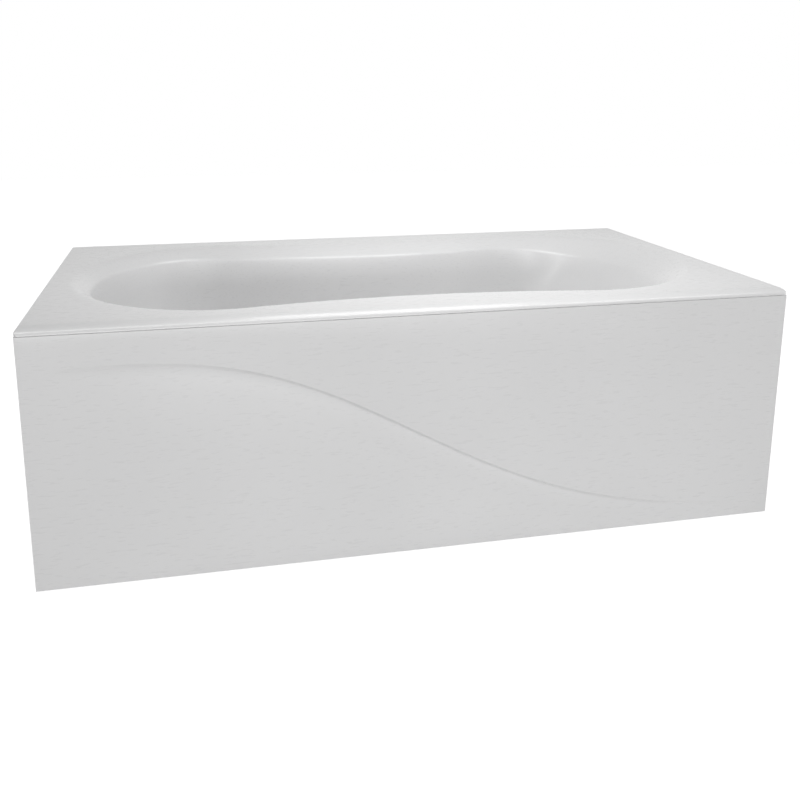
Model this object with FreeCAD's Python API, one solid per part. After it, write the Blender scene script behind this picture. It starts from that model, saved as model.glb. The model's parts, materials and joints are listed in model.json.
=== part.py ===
import FreeCAD, Part
import math
import os

from FreeCAD import Vector

# Alcove bathtub. Millimetres. The origin is under the middle of the bath, at floor level:
# +X runs to the backrest end, -X to the waste end, -Y is the front panel, +Z is up.

# Whole bath
length = 1500.0
width = 800.0
height = 500.0

# Fits between pieces
seat_gap = 0.1            # flat faces that are clamped together
bond_line = 0.3           # resin or adhesive between bonded pieces
running_fit = 0.05        # radial clearance of a turning or sliding shaft

# Acrylic shell: rim
acrylic = 5.0
nose_run = 28.0           # front lip, from its face to the flat deck
nose_drop = 13.0
lip_depth = 14.0          # front lip, deck to its lower edge
edge_round = 10.0         # the other three edges
skirt_depth = 30.0        # the other three edges turn down this far
skirt_setback = 20.0      # side skirts stop this far behind the front face
corner_round = 6.0

# Acrylic shell: dished band between deck and steep wall
end_deck = 48.0           # flat deck left at each end
lobe_deck = 63.0          # flat deck left beside each lobe
waist_deck = 97.0         # flat deck left beside the waist
lobe_from_end = 360.0
lobe_arc_limit = 0.6      # most of the room between lobe and waist that the lobe's arc takes
band_drop = 25.0
band_left = 41.0
band_right = 92.0
band_lobe = 53.0
band_waist = 63.0
band_crease = 0.3         # share of the band's fall that starts straight at the deck
band_lobe_shift = 25.0    # the inner edge's waste-end lobe lies further out than the deck's
band_waist_shift = 20.0

# Acrylic shell: basin
floor_clearance = 138.0   # the basin's floor above the room's floor, at mid length
waste_end_draft = 9.5     # degrees from upright
backrest_recline = 32.0
side_draft = 5.0
backrest_shoulder = 135.0 # below the inner edge, the backrest's round end keeps its place
backrest_narrowing = 110.0
floor_rise = 56.0         # height of the round between floor and wall
floor_round_side = 58.0
floor_round_waste = 60.0
floor_round_backrest = 100.0
floor_fall = 0.5          # degrees, down towards the waste

# Structure bonded to the shell
glassfibre = 4.0
nose_clearance = 5.0      # the laminate's front edge behind the end of the lip's curve
board_thickness = 16.0
board_half_width = 165.0
board_from_waste_end = 335.0
board_from_back_end = 420.0
board_corner = 20.0
batten_height = 28.0
batten_width = 28.0
back_batten_width = 38.0
batten_end_gap = 10.0

# Leg bars and feet
bar_from_waste_end = 420.0
bar_from_back_end = 488.0
bar_width = 40.0
bar_height = 25.0
bar_steel = 2.0
bar_length = 600.0
foot_offset = 270.0       # foot to the bath's centre line
stem_r = 5.0
stem_length = 112.0
stem_collar_flats = 13.0
stem_collar_height = 6.0
nut_flats = 17.0
nut_height = 8.0
pad_r = 25.0
pad_height = 30.0
pad_foot = 6.0
pad_neck_r = 11.0
pad_socket_depth = 20.0
pad_ribs = 6
leg_screw_r = 2.0
leg_screw_length = 13.0
leg_screw_rows = (60.0, 130.0)

# Front panel
panel_sheet = 6.0         # acrylic with its laminated backing
panel_seam = 0.8
panel_floor_gap = 2.0
panel_return = 20.0
return_sheet = 4.0
panel_edge_round = 2.0
rib_height = 2.8          # locating rib behind the rim's lip
rib_width = 2.5
wave_depth = 2.4
wave_start = 60.0         # from the panel's left end
wave_end = 1438.0
wave_middle = 196.0       # height of the line's middle
wave_swing = 302.0
wave_reach = 475.0
wave_stretch = 0.216
wave_tilt = 0.104
wave_centre = 60.0        # right of mid length
wave_fade = 18.0          # run of the soft lower side for each unit of depth
wave_stations = 25
panel_batten_depth = 12.0
panel_batten_height = 26.0
upper_batten_drop = 53.0  # its lower edge below the panel's top
lower_batten_z = 8.0
lower_batten_depth = 16.0

# Panel clips, brackets and catches
clip_count = 4
clip_from_end = 150.0
clip_width = 34.0
clip_plate = 3.0
clip_gap = 0.45           # under the panel's top return, clear of it as the panel swings
clip_screw_r = 1.75
clip_screw_spacing = 18.0
bracket_steel = 3.0
bracket_height = 20.0
bracket_overlap = 66.0    # along the leg bar
bracket_tab_width = 34.0
bracket_tab_bottom = 14.0
bracket_bolt_r = 3.0
bracket_bolt_spacing = 44.0
catch_height = 18.0
catch_depth = 5.0
strike_steel = 1.5

# Wall brackets
wall_bracket_from_end = 300.0
wall_bracket_width = 40.0
wall_bracket_steel = 2.0
wall_bracket_drop = 55.0
wall_hole_r = 3.0

# Pop-up waste
waste_from_end = 270.0
recess_r = 44.0
recess_drop = 3.0
waste_hole_r = 26.0
flange_r = 36.0
flange_rim = 3.0
seal_height = 3.0
upper_seal_height = 1.5
bowl_depth = 2.2
sleeve_r = 24.0
sleeve_wall = 3.0
sleeve_length = 19.0
spider_height = 5.0
waste_flange_height = 4.0
waste_flange_r = 41.0
chamber_r = 30.0
chamber_wall = 3.0
chamber_height = 36.0
tail_r = 24.0
tail_wall = 4.5
tail_length = 13.0
plug_r = 29.0
plug_height = 6.0
plug_stem_r = 4.0
plug_stem_length = 34.0
plug_seal_r = 25.0
plug_seal_width = 3.4
plug_seal_height = 1.6
lever_arm = 20.0
lever_height = 8.0
lever_width = 8.0
lever_pin_r = 2.0
lever_drop = 6.7          # pivot below the plug stem's end

# Trap
trap_r = 20.0
trap_wall = 2.5
trap_bend = 32.0
trap_elbow = 26.0
trap_ground_gap = 4.0
trap_outlet_z = 85.0
trap_spigot = 48.0
trap_nut_flats = 60.0
trap_nut_height = 17.0
trap_collar_height = 2.5
trap_lip = 4.0

# Overflow
overflow_drop = 90.0      # below the rim
overflow_pad_r = 40.0
overflow_hole_r = 27.0
overflow_flange_r = 38.0
overflow_flange_height = 4.0
overflow_cup_r = 31.0
overflow_cup_wall = 3.0
overflow_cup_depth = 40.0
trim_r = 37.0
trim_height = 3.0
trim_window_inner = 9.0
trim_window_outer = 25.0
trim_bridge = 14.0
trim_screw_r = 2.0
trim_screw_offset = 19.0
knob_r = 34.0
knob_height = 13.0
knob_wall = 3.0
knob_stand = 6.0          # gap for the water behind the knob
knob_hub_r = 8.0
knob_grips = 6
spindle_r = 4.0
spindle_length = 58.0
cam_r = 14.0
cam_height = 6.0

# Overflow hose and control cable
spigot_r = 10.2
spigot_bore = 8.0
spigot_length = 22.0
hose_bore = 10.5
hose_root = 12.0
hose_crest = 14.0
rib_pitch = 5.0
hose_bend = 70.0
hose_clip_width = 8.0
hose_clip_steel = 1.2
cable_r = 2.5
cable_offset = 23.0       # beside the hose
cable_bend = 60.0
gland_r = 4.5
gland_length = 16.0
gland_nut_flats = 11.0
tie_shares = (0.4, 0.8)   # down the hose's upright run
tie_width = 4.0
tie_thickness = 1.2

# Values that follow from the ones above
half_length = length / 2
half_width = width / 2
front = -half_width
edge_z = height - band_drop
floor_mid_z = floor_clearance
wall_height = edge_z - floor_mid_z
panel_top = height - lip_depth - panel_seam
upper_batten_z = panel_top - upper_batten_drop
board_left = -half_length + board_from_waste_end
board_right = half_length - board_from_back_end
bar_positions = {"left": -half_length + bar_from_waste_end,
                 "right": half_length - bar_from_back_end}
clip_spacing = (length - 2 * clip_from_end) / (clip_count - 1)
clip_positions = [-half_length + clip_from_end + i * clip_spacing for i in range(clip_count)]
wall_bracket_positions = (-half_length + wall_bracket_from_end,
                          half_length - wall_bracket_from_end)
waste_x = -half_length + waste_from_end
overflow_z = height - overflow_drop
batten_top = height - acrylic - 2 * bond_line - glassfibre
batten_bottom = batten_top - batten_height
front_batten_y = front + skirt_setback + 2.0
catch_face_y = front + panel_sheet + bond_line + lower_batten_depth + seat_gap + strike_steel


# ---- small helpers ------------------------------------------------------------------------

def box(x0, x1, y0, y1, z0, z1):
    return Part.makeBox(x1 - x0, y1 - y0, z1 - z0, Vector(x0, y0, z0))


def rod(r, start, direction, reach):
    return Part.makeCylinder(r, reach, start, direction)


def post(r, x, y, z0, z1):
    return rod(r, Vector(x, y, z0), Vector(0, 0, 1), z1 - z0)


def ring(outer, inner, x, y, z0, z1):
    return post(outer, x, y, z0, z1).cut(post(inner, x, y, z0, z1))


def hexagon(flats, x, y, z0, z1):
    corner_r = flats / math.sqrt(3)
    points = []
    for i in range(7):
        a = math.radians(60 * i)
        points.append(Vector(x + corner_r * math.cos(a), y + corner_r * math.sin(a), z0))
    return Part.Face(Part.makePolygon(points)).extrude(Vector(0, 0, z1 - z0))


def turned(shape, centre, axis, angle):
    copy = shape.copy()
    copy.rotate(centre, axis, angle)
    return copy


def moved(shape, x, y, z):
    copy = shape.copy()
    copy.translate(Vector(x, y, z))
    return copy


def joined(shapes):
    return shapes[0].multiFuse(shapes[1:]).removeSplitter()


def revolved(profile, axis_point, axis, angle=360):
    return Part.Face(Part.makePolygon(profile + [profile[0]])).revolve(axis_point, axis, angle)


def line(a, b):
    return Part.LineSegment(a, b).toShape()


def conic(start, corner, end, weight):
    # one circular or elliptical arc, tangent to start-corner and corner-end
    curve = Part.BezierCurve()
    curve.setPoles([start, corner, end])
    curve.setWeight(2, weight)
    return curve.toShape()


quarter = math.sqrt(0.5)  # weight of a quarter ellipse


# ---- shape of the basin -------------------------------------------------------------------

def deck_outline():
    return {
        "left_end": -half_length + end_deck,
        "right_end": half_length - end_deck,
        "left_lobe": -half_length + lobe_from_end,
        "right_lobe": half_length - lobe_from_end,
        "lobe_half": half_width - lobe_deck,
        "waist_half": half_width - waist_deck,
        "waist_x": 0.0,
    }


def edge_outline():
    shape = deck_outline()
    shape["left_end"] += band_left
    shape["right_end"] -= band_right
    shape["left_lobe"] -= band_lobe_shift
    shape["lobe_half"] -= band_lobe
    shape["waist_half"] -= band_waist
    shape["waist_x"] += band_waist_shift
    return shape


def grown(shape, amount):
    bigger = dict(shape)
    bigger["left_end"] -= amount
    bigger["right_end"] += amount
    bigger["lobe_half"] += amount
    bigger["waist_half"] += amount
    return bigger


def lobe_to_waist(shape, lobe_x, side):
    # a lobe arc and a longer waist arc that meet in one tangent
    span = abs(shape["waist_x"] - lobe_x)
    way = math.copysign(1.0, shape["waist_x"] - lobe_x)
    lobe_half = shape["lobe_half"]
    waist_half = shape["waist_half"]
    turn = 2 * math.atan((lobe_half - waist_half) / span)
    lobe_arc = min(lobe_half, lobe_arc_limit * span / math.sin(turn))
    waist_arc = span / math.sin(turn) - lobe_arc
    reach = math.tan(turn / 2)
    meet = Vector(lobe_x + way * lobe_arc * math.sin(turn),
                  side * (lobe_half - lobe_arc * (1 - math.cos(turn))), 0)
    lobe = [Vector(lobe_x, side * lobe_half, 0),
            Vector(lobe_x + way * lobe_arc * reach, side * lobe_half, 0), meet]
    waist = [meet, Vector(shape["waist_x"] - way * waist_arc * reach, side * waist_half, 0),
             Vector(shape["waist_x"], side * waist_half, 0)]
    return lobe, waist, math.cos(turn / 2)


def half_outline(shape, side):
    half = side * shape["lobe_half"]
    left_tip = Vector(shape["left_end"], 0, 0)
    right_tip = Vector(shape["right_end"], 0, 0)
    left_lobe, left_waist, left_weight = lobe_to_waist(shape, shape["left_lobe"], side)
    right_lobe, right_waist, right_weight = lobe_to_waist(shape, shape["right_lobe"], side)
    return [
        conic(left_tip, Vector(left_tip.x, half, 0), left_lobe[0], quarter),
        conic(*left_lobe, left_weight),
        conic(*left_waist, left_weight),
        conic(*right_waist[::-1], right_weight),
        conic(*right_lobe[::-1], right_weight),
        conic(right_lobe[0], Vector(right_tip.x, half, 0), right_tip, quarter),
    ]


def outline_wire(shape, z, tilt):
    edges = half_outline(shape, 1) + half_outline(shape, -1)[::-1]
    wire = Part.Wire(edges)
    wire.rotate(Vector(0, 0, 0), Vector(0, 1, 0), -tilt)
    wire.translate(Vector(0, 0, z))
    return wire


def band_section(share, skin):
    # share 0 is the deck's boundary, 1 the sharp inner edge
    outer = deck_outline()
    inner = edge_outline()
    shape = {key: outer[key] + (inner[key] - outer[key]) * share for key in outer}
    fall = band_crease * share + (1 - band_crease) * share ** 2
    slope = math.atan(band_drop * (band_crease + 2 * (1 - band_crease) * share) / band_lobe)
    if share == 1:
        slope = (slope + math.radians(90 - side_draft)) / 2
    return outline_wire(grown(shape, skin * math.sin(slope)),
                        height - band_drop * fall - skin * math.cos(slope), 0)


def wall_section(z, turn, skin):
    # turn is 0 on the straight wall and runs to 90 degrees where the round meets the floor
    depth = edge_z - z
    down = depth / wall_height
    shape = edge_outline()
    shape["left_end"] += depth * math.tan(math.radians(waste_end_draft))
    shape["right_end"] -= depth * math.tan(math.radians(backrest_recline))
    shape["lobe_half"] -= depth * math.tan(math.radians(side_draft))
    shape["waist_half"] -= depth * math.tan(math.radians(side_draft))
    past_shoulder = max(0.0, depth - backrest_shoulder) / (wall_height - backrest_shoulder)
    shape["right_lobe"] -= backrest_narrowing * past_shoulder
    inset = 1 - math.cos(turn)
    shape["left_end"] += floor_round_waste * inset
    shape["left_lobe"] += floor_round_waste / 2 * inset
    shape["right_end"] -= floor_round_backrest * inset
    shape["right_lobe"] -= 0.9 * floor_round_backrest * inset
    shape["lobe_half"] -= floor_round_side * inset
    shape["waist_half"] -= floor_round_side * inset
    lean = turn
    if depth == 0:
        slope = math.atan(band_drop * (2 - band_crease) / band_lobe)
        lean = math.radians(90) - (slope + math.radians(90 - side_draft)) / 2
    return outline_wire(grown(shape, skin * math.cos(lean)),
                        z - skin * math.sin(lean), floor_fall * down)


def basin_solid(skin):
    # the hollow of the bath (skin 0), or that hollow with a skin of this thickness round it
    band = [band_section(i / 4, skin) for i in range(5)]
    wall = [wall_section(edge_z, 0, skin),
            wall_section(edge_z - backrest_shoulder, 0, skin),
            wall_section(floor_mid_z + floor_rise, 0, skin)]
    turns = [math.radians(15 * i) for i in range(7)]
    rounds = [wall_section(floor_mid_z + floor_rise * (1 - math.sin(a)), a, skin) for a in turns]
    solids = [Part.makeLoft(band, True, False), Part.makeLoft(wall, True, True),
              Part.makeLoft(rounds, True, False)]
    return solids[0].multiFuse(solids[1:])


def deck_cutter(z0, z1):
    face = Part.Face(outline_wire(deck_outline(), z0, 0))
    return face.extrude(Vector(0, 0, z1 - z0))


# ---- acrylic shell ------------------------------------------------------------------------

def rim_across(inset, front_bottom, bottom):
    # section across the bath, run along its whole length
    face = front + inset
    top = height - inset
    back = half_width - inset
    r = edge_round - inset
    nose_y = front + nose_run
    step_y = front + skirt_setback
    nose_z = height - nose_drop
    edges = [
        line(Vector(0, face, front_bottom), Vector(0, face, nose_z)),
        conic(Vector(0, face, nose_z), Vector(0, face, top), Vector(0, nose_y, top), quarter),
        line(Vector(0, nose_y, top), Vector(0, back - r, top)),
        conic(Vector(0, back - r, top), Vector(0, back, top), Vector(0, back, top - r), quarter),
        line(Vector(0, back, top - r), Vector(0, back, bottom)),
        line(Vector(0, back, bottom), Vector(0, step_y, bottom)),
        line(Vector(0, step_y, bottom), Vector(0, step_y, front_bottom)),
        line(Vector(0, step_y, front_bottom), Vector(0, face, front_bottom)),
    ]
    section = Part.Face(Part.Wire(edges))
    section.translate(Vector(-half_length + inset, 0, 0))
    return section.extrude(Vector(length - 2 * inset, 0, 0))


def rim_along(inset, bottom):
    # section along the bath, run across its whole width
    end = half_length - inset
    top = height - inset
    r = edge_round - inset
    edges = [
        line(Vector(-end, 0, bottom), Vector(-end, 0, top - r)),
        conic(Vector(-end, 0, top - r), Vector(-end, 0, top), Vector(r - end, 0, top), quarter),
        line(Vector(r - end, 0, top), Vector(end - r, 0, top)),
        conic(Vector(end - r, 0, top), Vector(end, 0, top), Vector(end, 0, top - r), quarter),
        line(Vector(end, 0, top - r), Vector(end, 0, bottom)),
        line(Vector(end, 0, bottom), Vector(-end, 0, bottom)),
    ]
    section = Part.Face(Part.Wire(edges))
    section.translate(Vector(0, front + inset, 0))
    return section.extrude(Vector(0, width - 2 * inset, 0))


def rounded_plan(half_x, half_y, r, z0, z1):
    slab = box(-half_x, half_x, -half_y, half_y, z0, z1)
    upright = [e for e in slab.Edges if abs(e.tangentAt(e.FirstParameter).z) > 0.9]
    return slab.makeFillet(r, upright)


def rim_shell():
    low = height - skirt_depth
    outer = rim_across(0, height - lip_depth, low).common(rim_along(0, low))
    outer = outer.common(rounded_plan(half_length, half_width, corner_round, low - 1, height + 1))
    hollow = rim_across(acrylic, low - 1, low - 2).common(rim_along(acrylic, low - 2))
    return outer.cut(hollow)


def floor_z(x):
    return floor_mid_z + x * math.tan(math.radians(floor_fall))


recess_z = floor_z(waste_x) - recess_drop
overflow_x = (-half_length + end_deck + band_left
              + (edge_z - overflow_z) * math.tan(math.radians(waste_end_draft)))


def at_overflow(shape):
    # moves a piece drawn along +X at the origin to the overflow, square to the wall
    placed = turned(shape, Vector(0, 0, 0), Vector(0, 1, 0), -waste_end_draft)
    return moved(placed, overflow_x, 0, overflow_z)


def disc_x(r, u0, u1):
    return rod(r, Vector(u0, 0, 0), Vector(1, 0, 0), u1 - u0)


def ring_x(outer, inner, u0, u1):
    return disc_x(outer, u0, u1).cut(disc_x(inner, u0, u1))


def tub_shell():
    shell = rim_shell().fuse([basin_solid(acrylic), deck_cutter(height - acrylic, height - 2)])
    recess_cup = post(recess_r + acrylic, waste_x, 0, recess_z - acrylic, recess_z + 1)
    overflow_pad = at_overflow(disc_x(overflow_pad_r + 2, -acrylic - 1, 0))
    shell = shell.fuse([recess_cup, overflow_pad])
    hollow = basin_solid(0).fuse(deck_cutter(height, height + 5))
    recess = post(recess_r, waste_x, 0, recess_z, recess_z + 20)
    overflow_flat = at_overflow(disc_x(overflow_pad_r, 0, 15))
    waste_hole = post(waste_hole_r, waste_x, 0, recess_z - 20, recess_z + 1)
    overflow_hole = at_overflow(disc_x(overflow_hole_r, -20, 1))
    return shell.cut([hollow, recess, overflow_flat, waste_hole, overflow_hole])


# ---- structure bonded to the shell --------------------------------------------------------

def glassfibre_backing():
    inner_skin = acrylic + bond_line
    outer_skin = inner_skin + glassfibre
    deck_top = height - inner_skin
    reach = acrylic + 4
    deck = box(-half_length + reach, half_length - reach, front + nose_run - nose_clearance,
               half_width - reach, deck_top - glassfibre, deck_top)
    laminate = deck.fuse(basin_solid(outer_skin))
    opening = deck_cutter(deck_top, height)
    waste_clearance = post(recess_r + acrylic + 1, waste_x, 0, recess_z - 20, recess_z + 20)
    overflow_clearance = at_overflow(disc_x(overflow_pad_r + 3, -25, 5))
    return laminate.cut([basin_solid(inner_skin), opening, waste_clearance, overflow_clearance])


def under_backing(x):
    return floor_z(x) - acrylic - 2 * bond_line - glassfibre


def base_board():
    centre = (board_left + board_right) / 2
    half = (board_right - board_left) / 2
    slab = rounded_plan(half, board_half_width, board_corner, -board_thickness, 0)
    slab = turned(moved(slab, centre, 0, 0), Vector(0, 0, 0), Vector(0, 1, 0), -floor_fall)
    slab = moved(slab, 0, 0, under_backing(0))
    pilots = [screw_shank(x, y, running_fit) for x in bar_positions.values() for y in leg_screw_ys()]
    return slab.cut(pilots)


def rim_battens():
    long_half = half_length - batten_end_gap
    end_outer = half_length - acrylic - 2
    front_back = front_batten_y + batten_width
    back_outer = half_width - acrylic - 3
    back_inner = back_outer - back_batten_width
    battens = {
        "front": box(-long_half, long_half, front_batten_y, front_back, batten_bottom, batten_top),
        "back": box(-long_half, long_half, back_inner, back_outer, batten_bottom, batten_top),
    }
    for name, side in (("left", -1), ("right", 1)):
        x0, x1 = sorted((side * (end_outer - batten_width), side * end_outer))
        battens[name] = box(x0, x1, front_back + bond_line, back_inner - bond_line,
                            batten_bottom, batten_top)
    battens["front"] = battens["front"].cut(clip_screw_shanks(running_fit))
    battens["back"] = battens["back"].cut(wall_screw_shanks(running_fit))
    return battens


# ---- leg bars and feet --------------------------------------------------------------------

def bar_top(x):
    lowest = under_backing(x - math.copysign(bar_width / 2, floor_fall))
    return lowest - board_thickness - seat_gap


def leg_screw_ys():
    return [side * y for y in leg_screw_rows for side in (-1, 1)]


def screw_shank(x, y, clearance=0.0):
    top = bar_top(x)
    return post(leg_screw_r + clearance, x, y, top - bar_steel - 1, top + leg_screw_length + clearance)


def leg_bar(x):
    top = bar_top(x)
    half = bar_width / 2
    reach = bar_length / 2
    channel = box(x - half, x + half, -reach, reach, top - bar_height, top)
    channel = channel.cut(box(x - half + bar_steel, x + half - bar_steel, -reach - 1, reach + 1,
                              top - bar_height - 1, top - bar_steel))
    holes = [post(leg_screw_r + 0.3, x, y, top - bar_height, top + 1) for y in leg_screw_ys()]
    holes += [post(stem_r + 0.5, x, y, top - bar_height, top + 1)
              for y in (-foot_offset, foot_offset)]
    holes += bracket_bolt_holes(x)
    return channel.cut(holes)


def leg_screws():
    screws = []
    for x in bar_positions.values():
        under_web = bar_top(x) - bar_steel - seat_gap
        for y in leg_screw_ys():
            head = post(2 * leg_screw_r, x, y, under_web - 2.5, under_web)
            slot = box(x - 0.5, x + 0.5, y - 5, y + 5, under_web - 3, under_web - 1.5)
            screws.append(screw_shank(x, y).fuse(head).cut(slot))
    return Part.makeCompound(screws)


def foot_places():
    places = {}
    for end, x in bar_positions.items():
        places["front_" + end] = (x, -foot_offset)
        places["back_" + end] = (x, foot_offset)
    return places


def foot_nuts(under_web):
    # weld nuts under the bar, or the lock nuts that clamp the stems above it
    nuts = []
    for x, y in foot_places().values():
        z0 = bar_top(x) + seat_gap
        if under_web:
            z0 = bar_top(x) - bar_steel - seat_gap - nut_height
        nut = hexagon(nut_flats, x, y, z0, z0 + nut_height)
        nuts.append(nut.cut(post(stem_r + running_fit, x, y, z0 - 1, z0 + nut_height + 1)))
    return Part.makeCompound(nuts)


def foot_stem(x, y):
    bottom = pad_height - pad_socket_depth + 0.3
    stem = post(stem_r, x, y, bottom, bottom + stem_length)
    tip = stem.Edges[0]
    stem = stem.makeChamfer(1.0, [tip])
    collar_z = pad_height + 1.0
    return stem.fuse(hexagon(stem_collar_flats, x, y, collar_z, collar_z + stem_collar_height))


def foot_pad(x, y):
    sole = [Vector(0, 0, 0), Vector(pad_r, 0, 0), Vector(pad_r, 0, pad_foot - 2),
            Vector(pad_r - 2, 0, pad_foot), Vector(pad_neck_r, 0, pad_foot),
            Vector(pad_neck_r - 1, 0, pad_height), Vector(0, 0, pad_height)]
    pad = revolved(sole, Vector(0, 0, 0), Vector(0, 0, 1))
    for i in range(pad_ribs):
        gusset = [Vector(pad_neck_r - 3, -1, pad_foot - 1), Vector(pad_r - 4, -1, pad_foot - 1),
                  Vector(pad_r - 4, -1, pad_foot), Vector(pad_neck_r - 3, -1, pad_height - 5)]
        rib = Part.Face(Part.makePolygon(gusset + [gusset[0]])).extrude(Vector(0, 2, 0))
        pad = pad.fuse(turned(rib, Vector(0, 0, 0), Vector(0, 0, 1), 360 / pad_ribs * i))
    socket_z = pad_height - pad_socket_depth
    pad = pad.cut(post(stem_r + running_fit, 0, 0, socket_z, pad_height + 1))
    return moved(pad, x, y, 0)


# ---- front panel --------------------------------------------------------------------------

def wave_height(x):
    u = (x - wave_centre) / (wave_reach + wave_stretch * (x - wave_centre))
    return wave_middle - wave_swing * math.tanh(u) + wave_tilt * x


def wave_cutter():
    # one long groove: sharp above, fading out below, and running out at both ends
    first = -half_length + wave_start
    last = -half_length + wave_end
    sections = []
    for i in range(wave_stations):
        share = (i + 0.35) / (wave_stations - 0.3)
        x = first + (last - first) * share
        depth = wave_depth * math.sin(math.pi * share) ** 0.7
        z = wave_height(x)
        corners = [Vector(x, front - 1, z + 0.6), Vector(x, front + depth, z - 0.6 * depth),
                   Vector(x, front - 1, z - wave_fade * (depth + 1))]
        sections.append(Part.makePolygon(corners + [corners[0]]))
    return Part.makeLoft(sections, True, False)


def front_panel():
    left = -half_length
    right = half_length
    bottom = panel_floor_gap
    inside = front + panel_return
    sheet = box(left, right, front, inside, bottom, panel_top)
    hollow = box(left + return_sheet, right - return_sheet, front + panel_sheet, inside + 1,
                 bottom + return_sheet, panel_top - return_sheet)
    outer_edges = [e for e in sheet.Edges if abs(e.BoundBox.YMin - front) < 0.01
                   and abs(e.BoundBox.YMax - front) < 0.01]
    sheet = sheet.makeFillet(panel_edge_round, outer_edges).cut(hollow)
    rib_y = front + panel_sheet
    rib = box(left + acrylic + 2, right - acrylic - 2, rib_y, rib_y + rib_width,
              panel_top - 1, panel_top + rib_height)
    return sheet.fuse(rib).cut(wave_cutter())


def panel_batten(z, depth):
    inside = front + panel_sheet + bond_line
    reach = half_length - return_sheet - 6
    return box(-reach, reach, inside, inside + depth, z, z + panel_batten_height)


def panel_clips():
    clips = []
    root = front_batten_y - seat_gap
    tip = front + panel_sheet + 0.7
    under_return = panel_top - return_sheet - clip_gap
    profile = [Vector(0, root, batten_bottom), Vector(0, root - clip_plate, batten_bottom),
               Vector(0, root - clip_plate, under_return - 9), Vector(0, tip, under_return - 2.5),
               Vector(0, tip, under_return), Vector(0, root, under_return - 3.4)]
    for x in clip_positions:
        clip = Part.Face(Part.makePolygon(profile + [profile[0]])).extrude(Vector(clip_width, 0, 0))
        clips.append(moved(clip, x - clip_width / 2, 0, 0).cut(clip_screw_shanks(running_fit)))
    return Part.makeCompound(clips)


def clip_screw_points():
    z = batten_bottom + 5
    return [Vector(x + side * clip_screw_spacing / 2, front_batten_y - seat_gap - clip_plate, z)
            for x in clip_positions for side in (-1, 1)]


def clip_screw_shanks(clearance=0.0):
    reach = clip_plate + seat_gap + 16 + clearance
    return [rod(clip_screw_r + clearance, p, Vector(0, 1, 0), reach) for p in clip_screw_points()]


def clip_screws():
    screws = []
    for point, shank in zip(clip_screw_points(), clip_screw_shanks()):
        head = rod(2 * clip_screw_r, point - Vector(0, 2 + seat_gap, 0), Vector(0, 1, 0), 2)
        neck = rod(clip_screw_r, point - Vector(0, 1, 0), Vector(0, 1, 0), 2)
        screws.append(joined([head, neck, shank]))
    return Part.makeCompound(screws)


# ---- brackets and catches that hold the panel's foot ---------------------------------------

def bracket_bolt_points(x):
    middle = -bar_length / 2 + bracket_overlap / 2
    z = bar_top(x) - bar_height / 2 - 1
    face = x + bar_width / 2
    return [Vector(face, middle + side * bracket_bolt_spacing / 2, z) for side in (-1, 1)]


def bracket_bolt_holes(x):
    return [rod(bracket_bolt_r + 0.3, p - Vector(5, 0, 0), Vector(1, 0, 0), 12)
            for p in bracket_bolt_points(x)]


def panel_bracket(x):
    face = x + bar_width / 2 + seat_gap
    z1 = bar_top(x) - (bar_height - bracket_height) / 2
    z0 = z1 - bracket_height
    tab_y = catch_face_y + seat_gap + catch_depth + seat_gap
    strap = box(face, face + bracket_steel, tab_y, -bar_length / 2 + bracket_overlap, z0, z1)
    tab = box(face, face + bracket_tab_width, tab_y, tab_y + bracket_steel, bracket_tab_bottom, z1)
    screw_hole = rod(2.0, Vector(catch_x(x), tab_y - 1, catch_z()), Vector(0, 1, 0), 10)
    return strap.fuse(tab).removeSplitter().cut(bracket_bolt_holes(x) + [screw_hole])


def bracket_bolts():
    bolts = []
    for x in bar_positions.values():
        for point in bracket_bolt_points(x):
            outside = point + Vector(seat_gap + bracket_steel + seat_gap, 0, 0)
            shank = rod(bracket_bolt_r, point - Vector(9, 0, 0), Vector(1, 0, 0), 9 + 2 * seat_gap + 3)
            head = turned(hexagon(10, 0, 0, 0, 4), Vector(0, 0, 0), Vector(0, 1, 0), 90)
            bolts.append(shank.fuse(moved(head, outside.x, outside.y, outside.z)))
    return Part.makeCompound(bolts)


def bracket_nuts():
    nuts = []
    for x in bar_positions.values():
        for point in bracket_bolt_points(x):
            inside = point - Vector(bar_steel + seat_gap + 5, 0, 0)
            nut = turned(hexagon(10, 0, 0, 0, 5), Vector(0, 0, 0), Vector(0, 1, 0), 90)
            bore = rod(bracket_bolt_r + running_fit, inside - Vector(1, 0, 0), Vector(1, 0, 0), 8)
            nuts.append(moved(nut, inside.x, inside.y, inside.z).cut(bore))
    return Part.makeCompound(nuts)


def catch_x(x):
    return x + bar_width / 2 + seat_gap + bracket_tab_width / 2 + 2


def catch_z():
    return bracket_tab_bottom + catch_height / 2 - 2


def panel_catches():
    catches = []
    y0 = catch_face_y + seat_gap
    for x in bar_positions.values():
        body = box(catch_x(x) - 13, catch_x(x) + 13, y0, y0 + catch_depth,
                   catch_z() - catch_height / 2, catch_z() + catch_height / 2)
        stud = rod(2.0 - running_fit, Vector(catch_x(x), y0 + catch_depth - 1, catch_z()),
                   Vector(0, 1, 0), 1 + seat_gap + bracket_steel)
        catches.append(body.makeFillet(1.0, body.Edges).fuse(stud))
    return Part.makeCompound(catches)


def strike_plates():
    plates = []
    y0 = catch_face_y - strike_steel
    for x in bar_positions.values():
        plates.append(box(catch_x(x) - 14, catch_x(x) + 14, y0, y0 + strike_steel,
                          catch_z() - 10, catch_z() + 10))
    return Part.makeCompound(plates)


# ---- wall brackets ------------------------------------------------------------------------

def wall_screw_points():
    z = batten_bottom - seat_gap - wall_bracket_steel
    y = half_width - acrylic - 3 - back_batten_width / 2
    return [Vector(x + side * 12, y, z) for x in wall_bracket_positions for side in (-1, 1)]


def wall_screw_shanks(clearance=0.0):
    reach = wall_bracket_steel + seat_gap + 18 + clearance
    return [rod(2.0 + clearance, p, Vector(0, 0, 1), reach) for p in wall_screw_points()]


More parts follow.
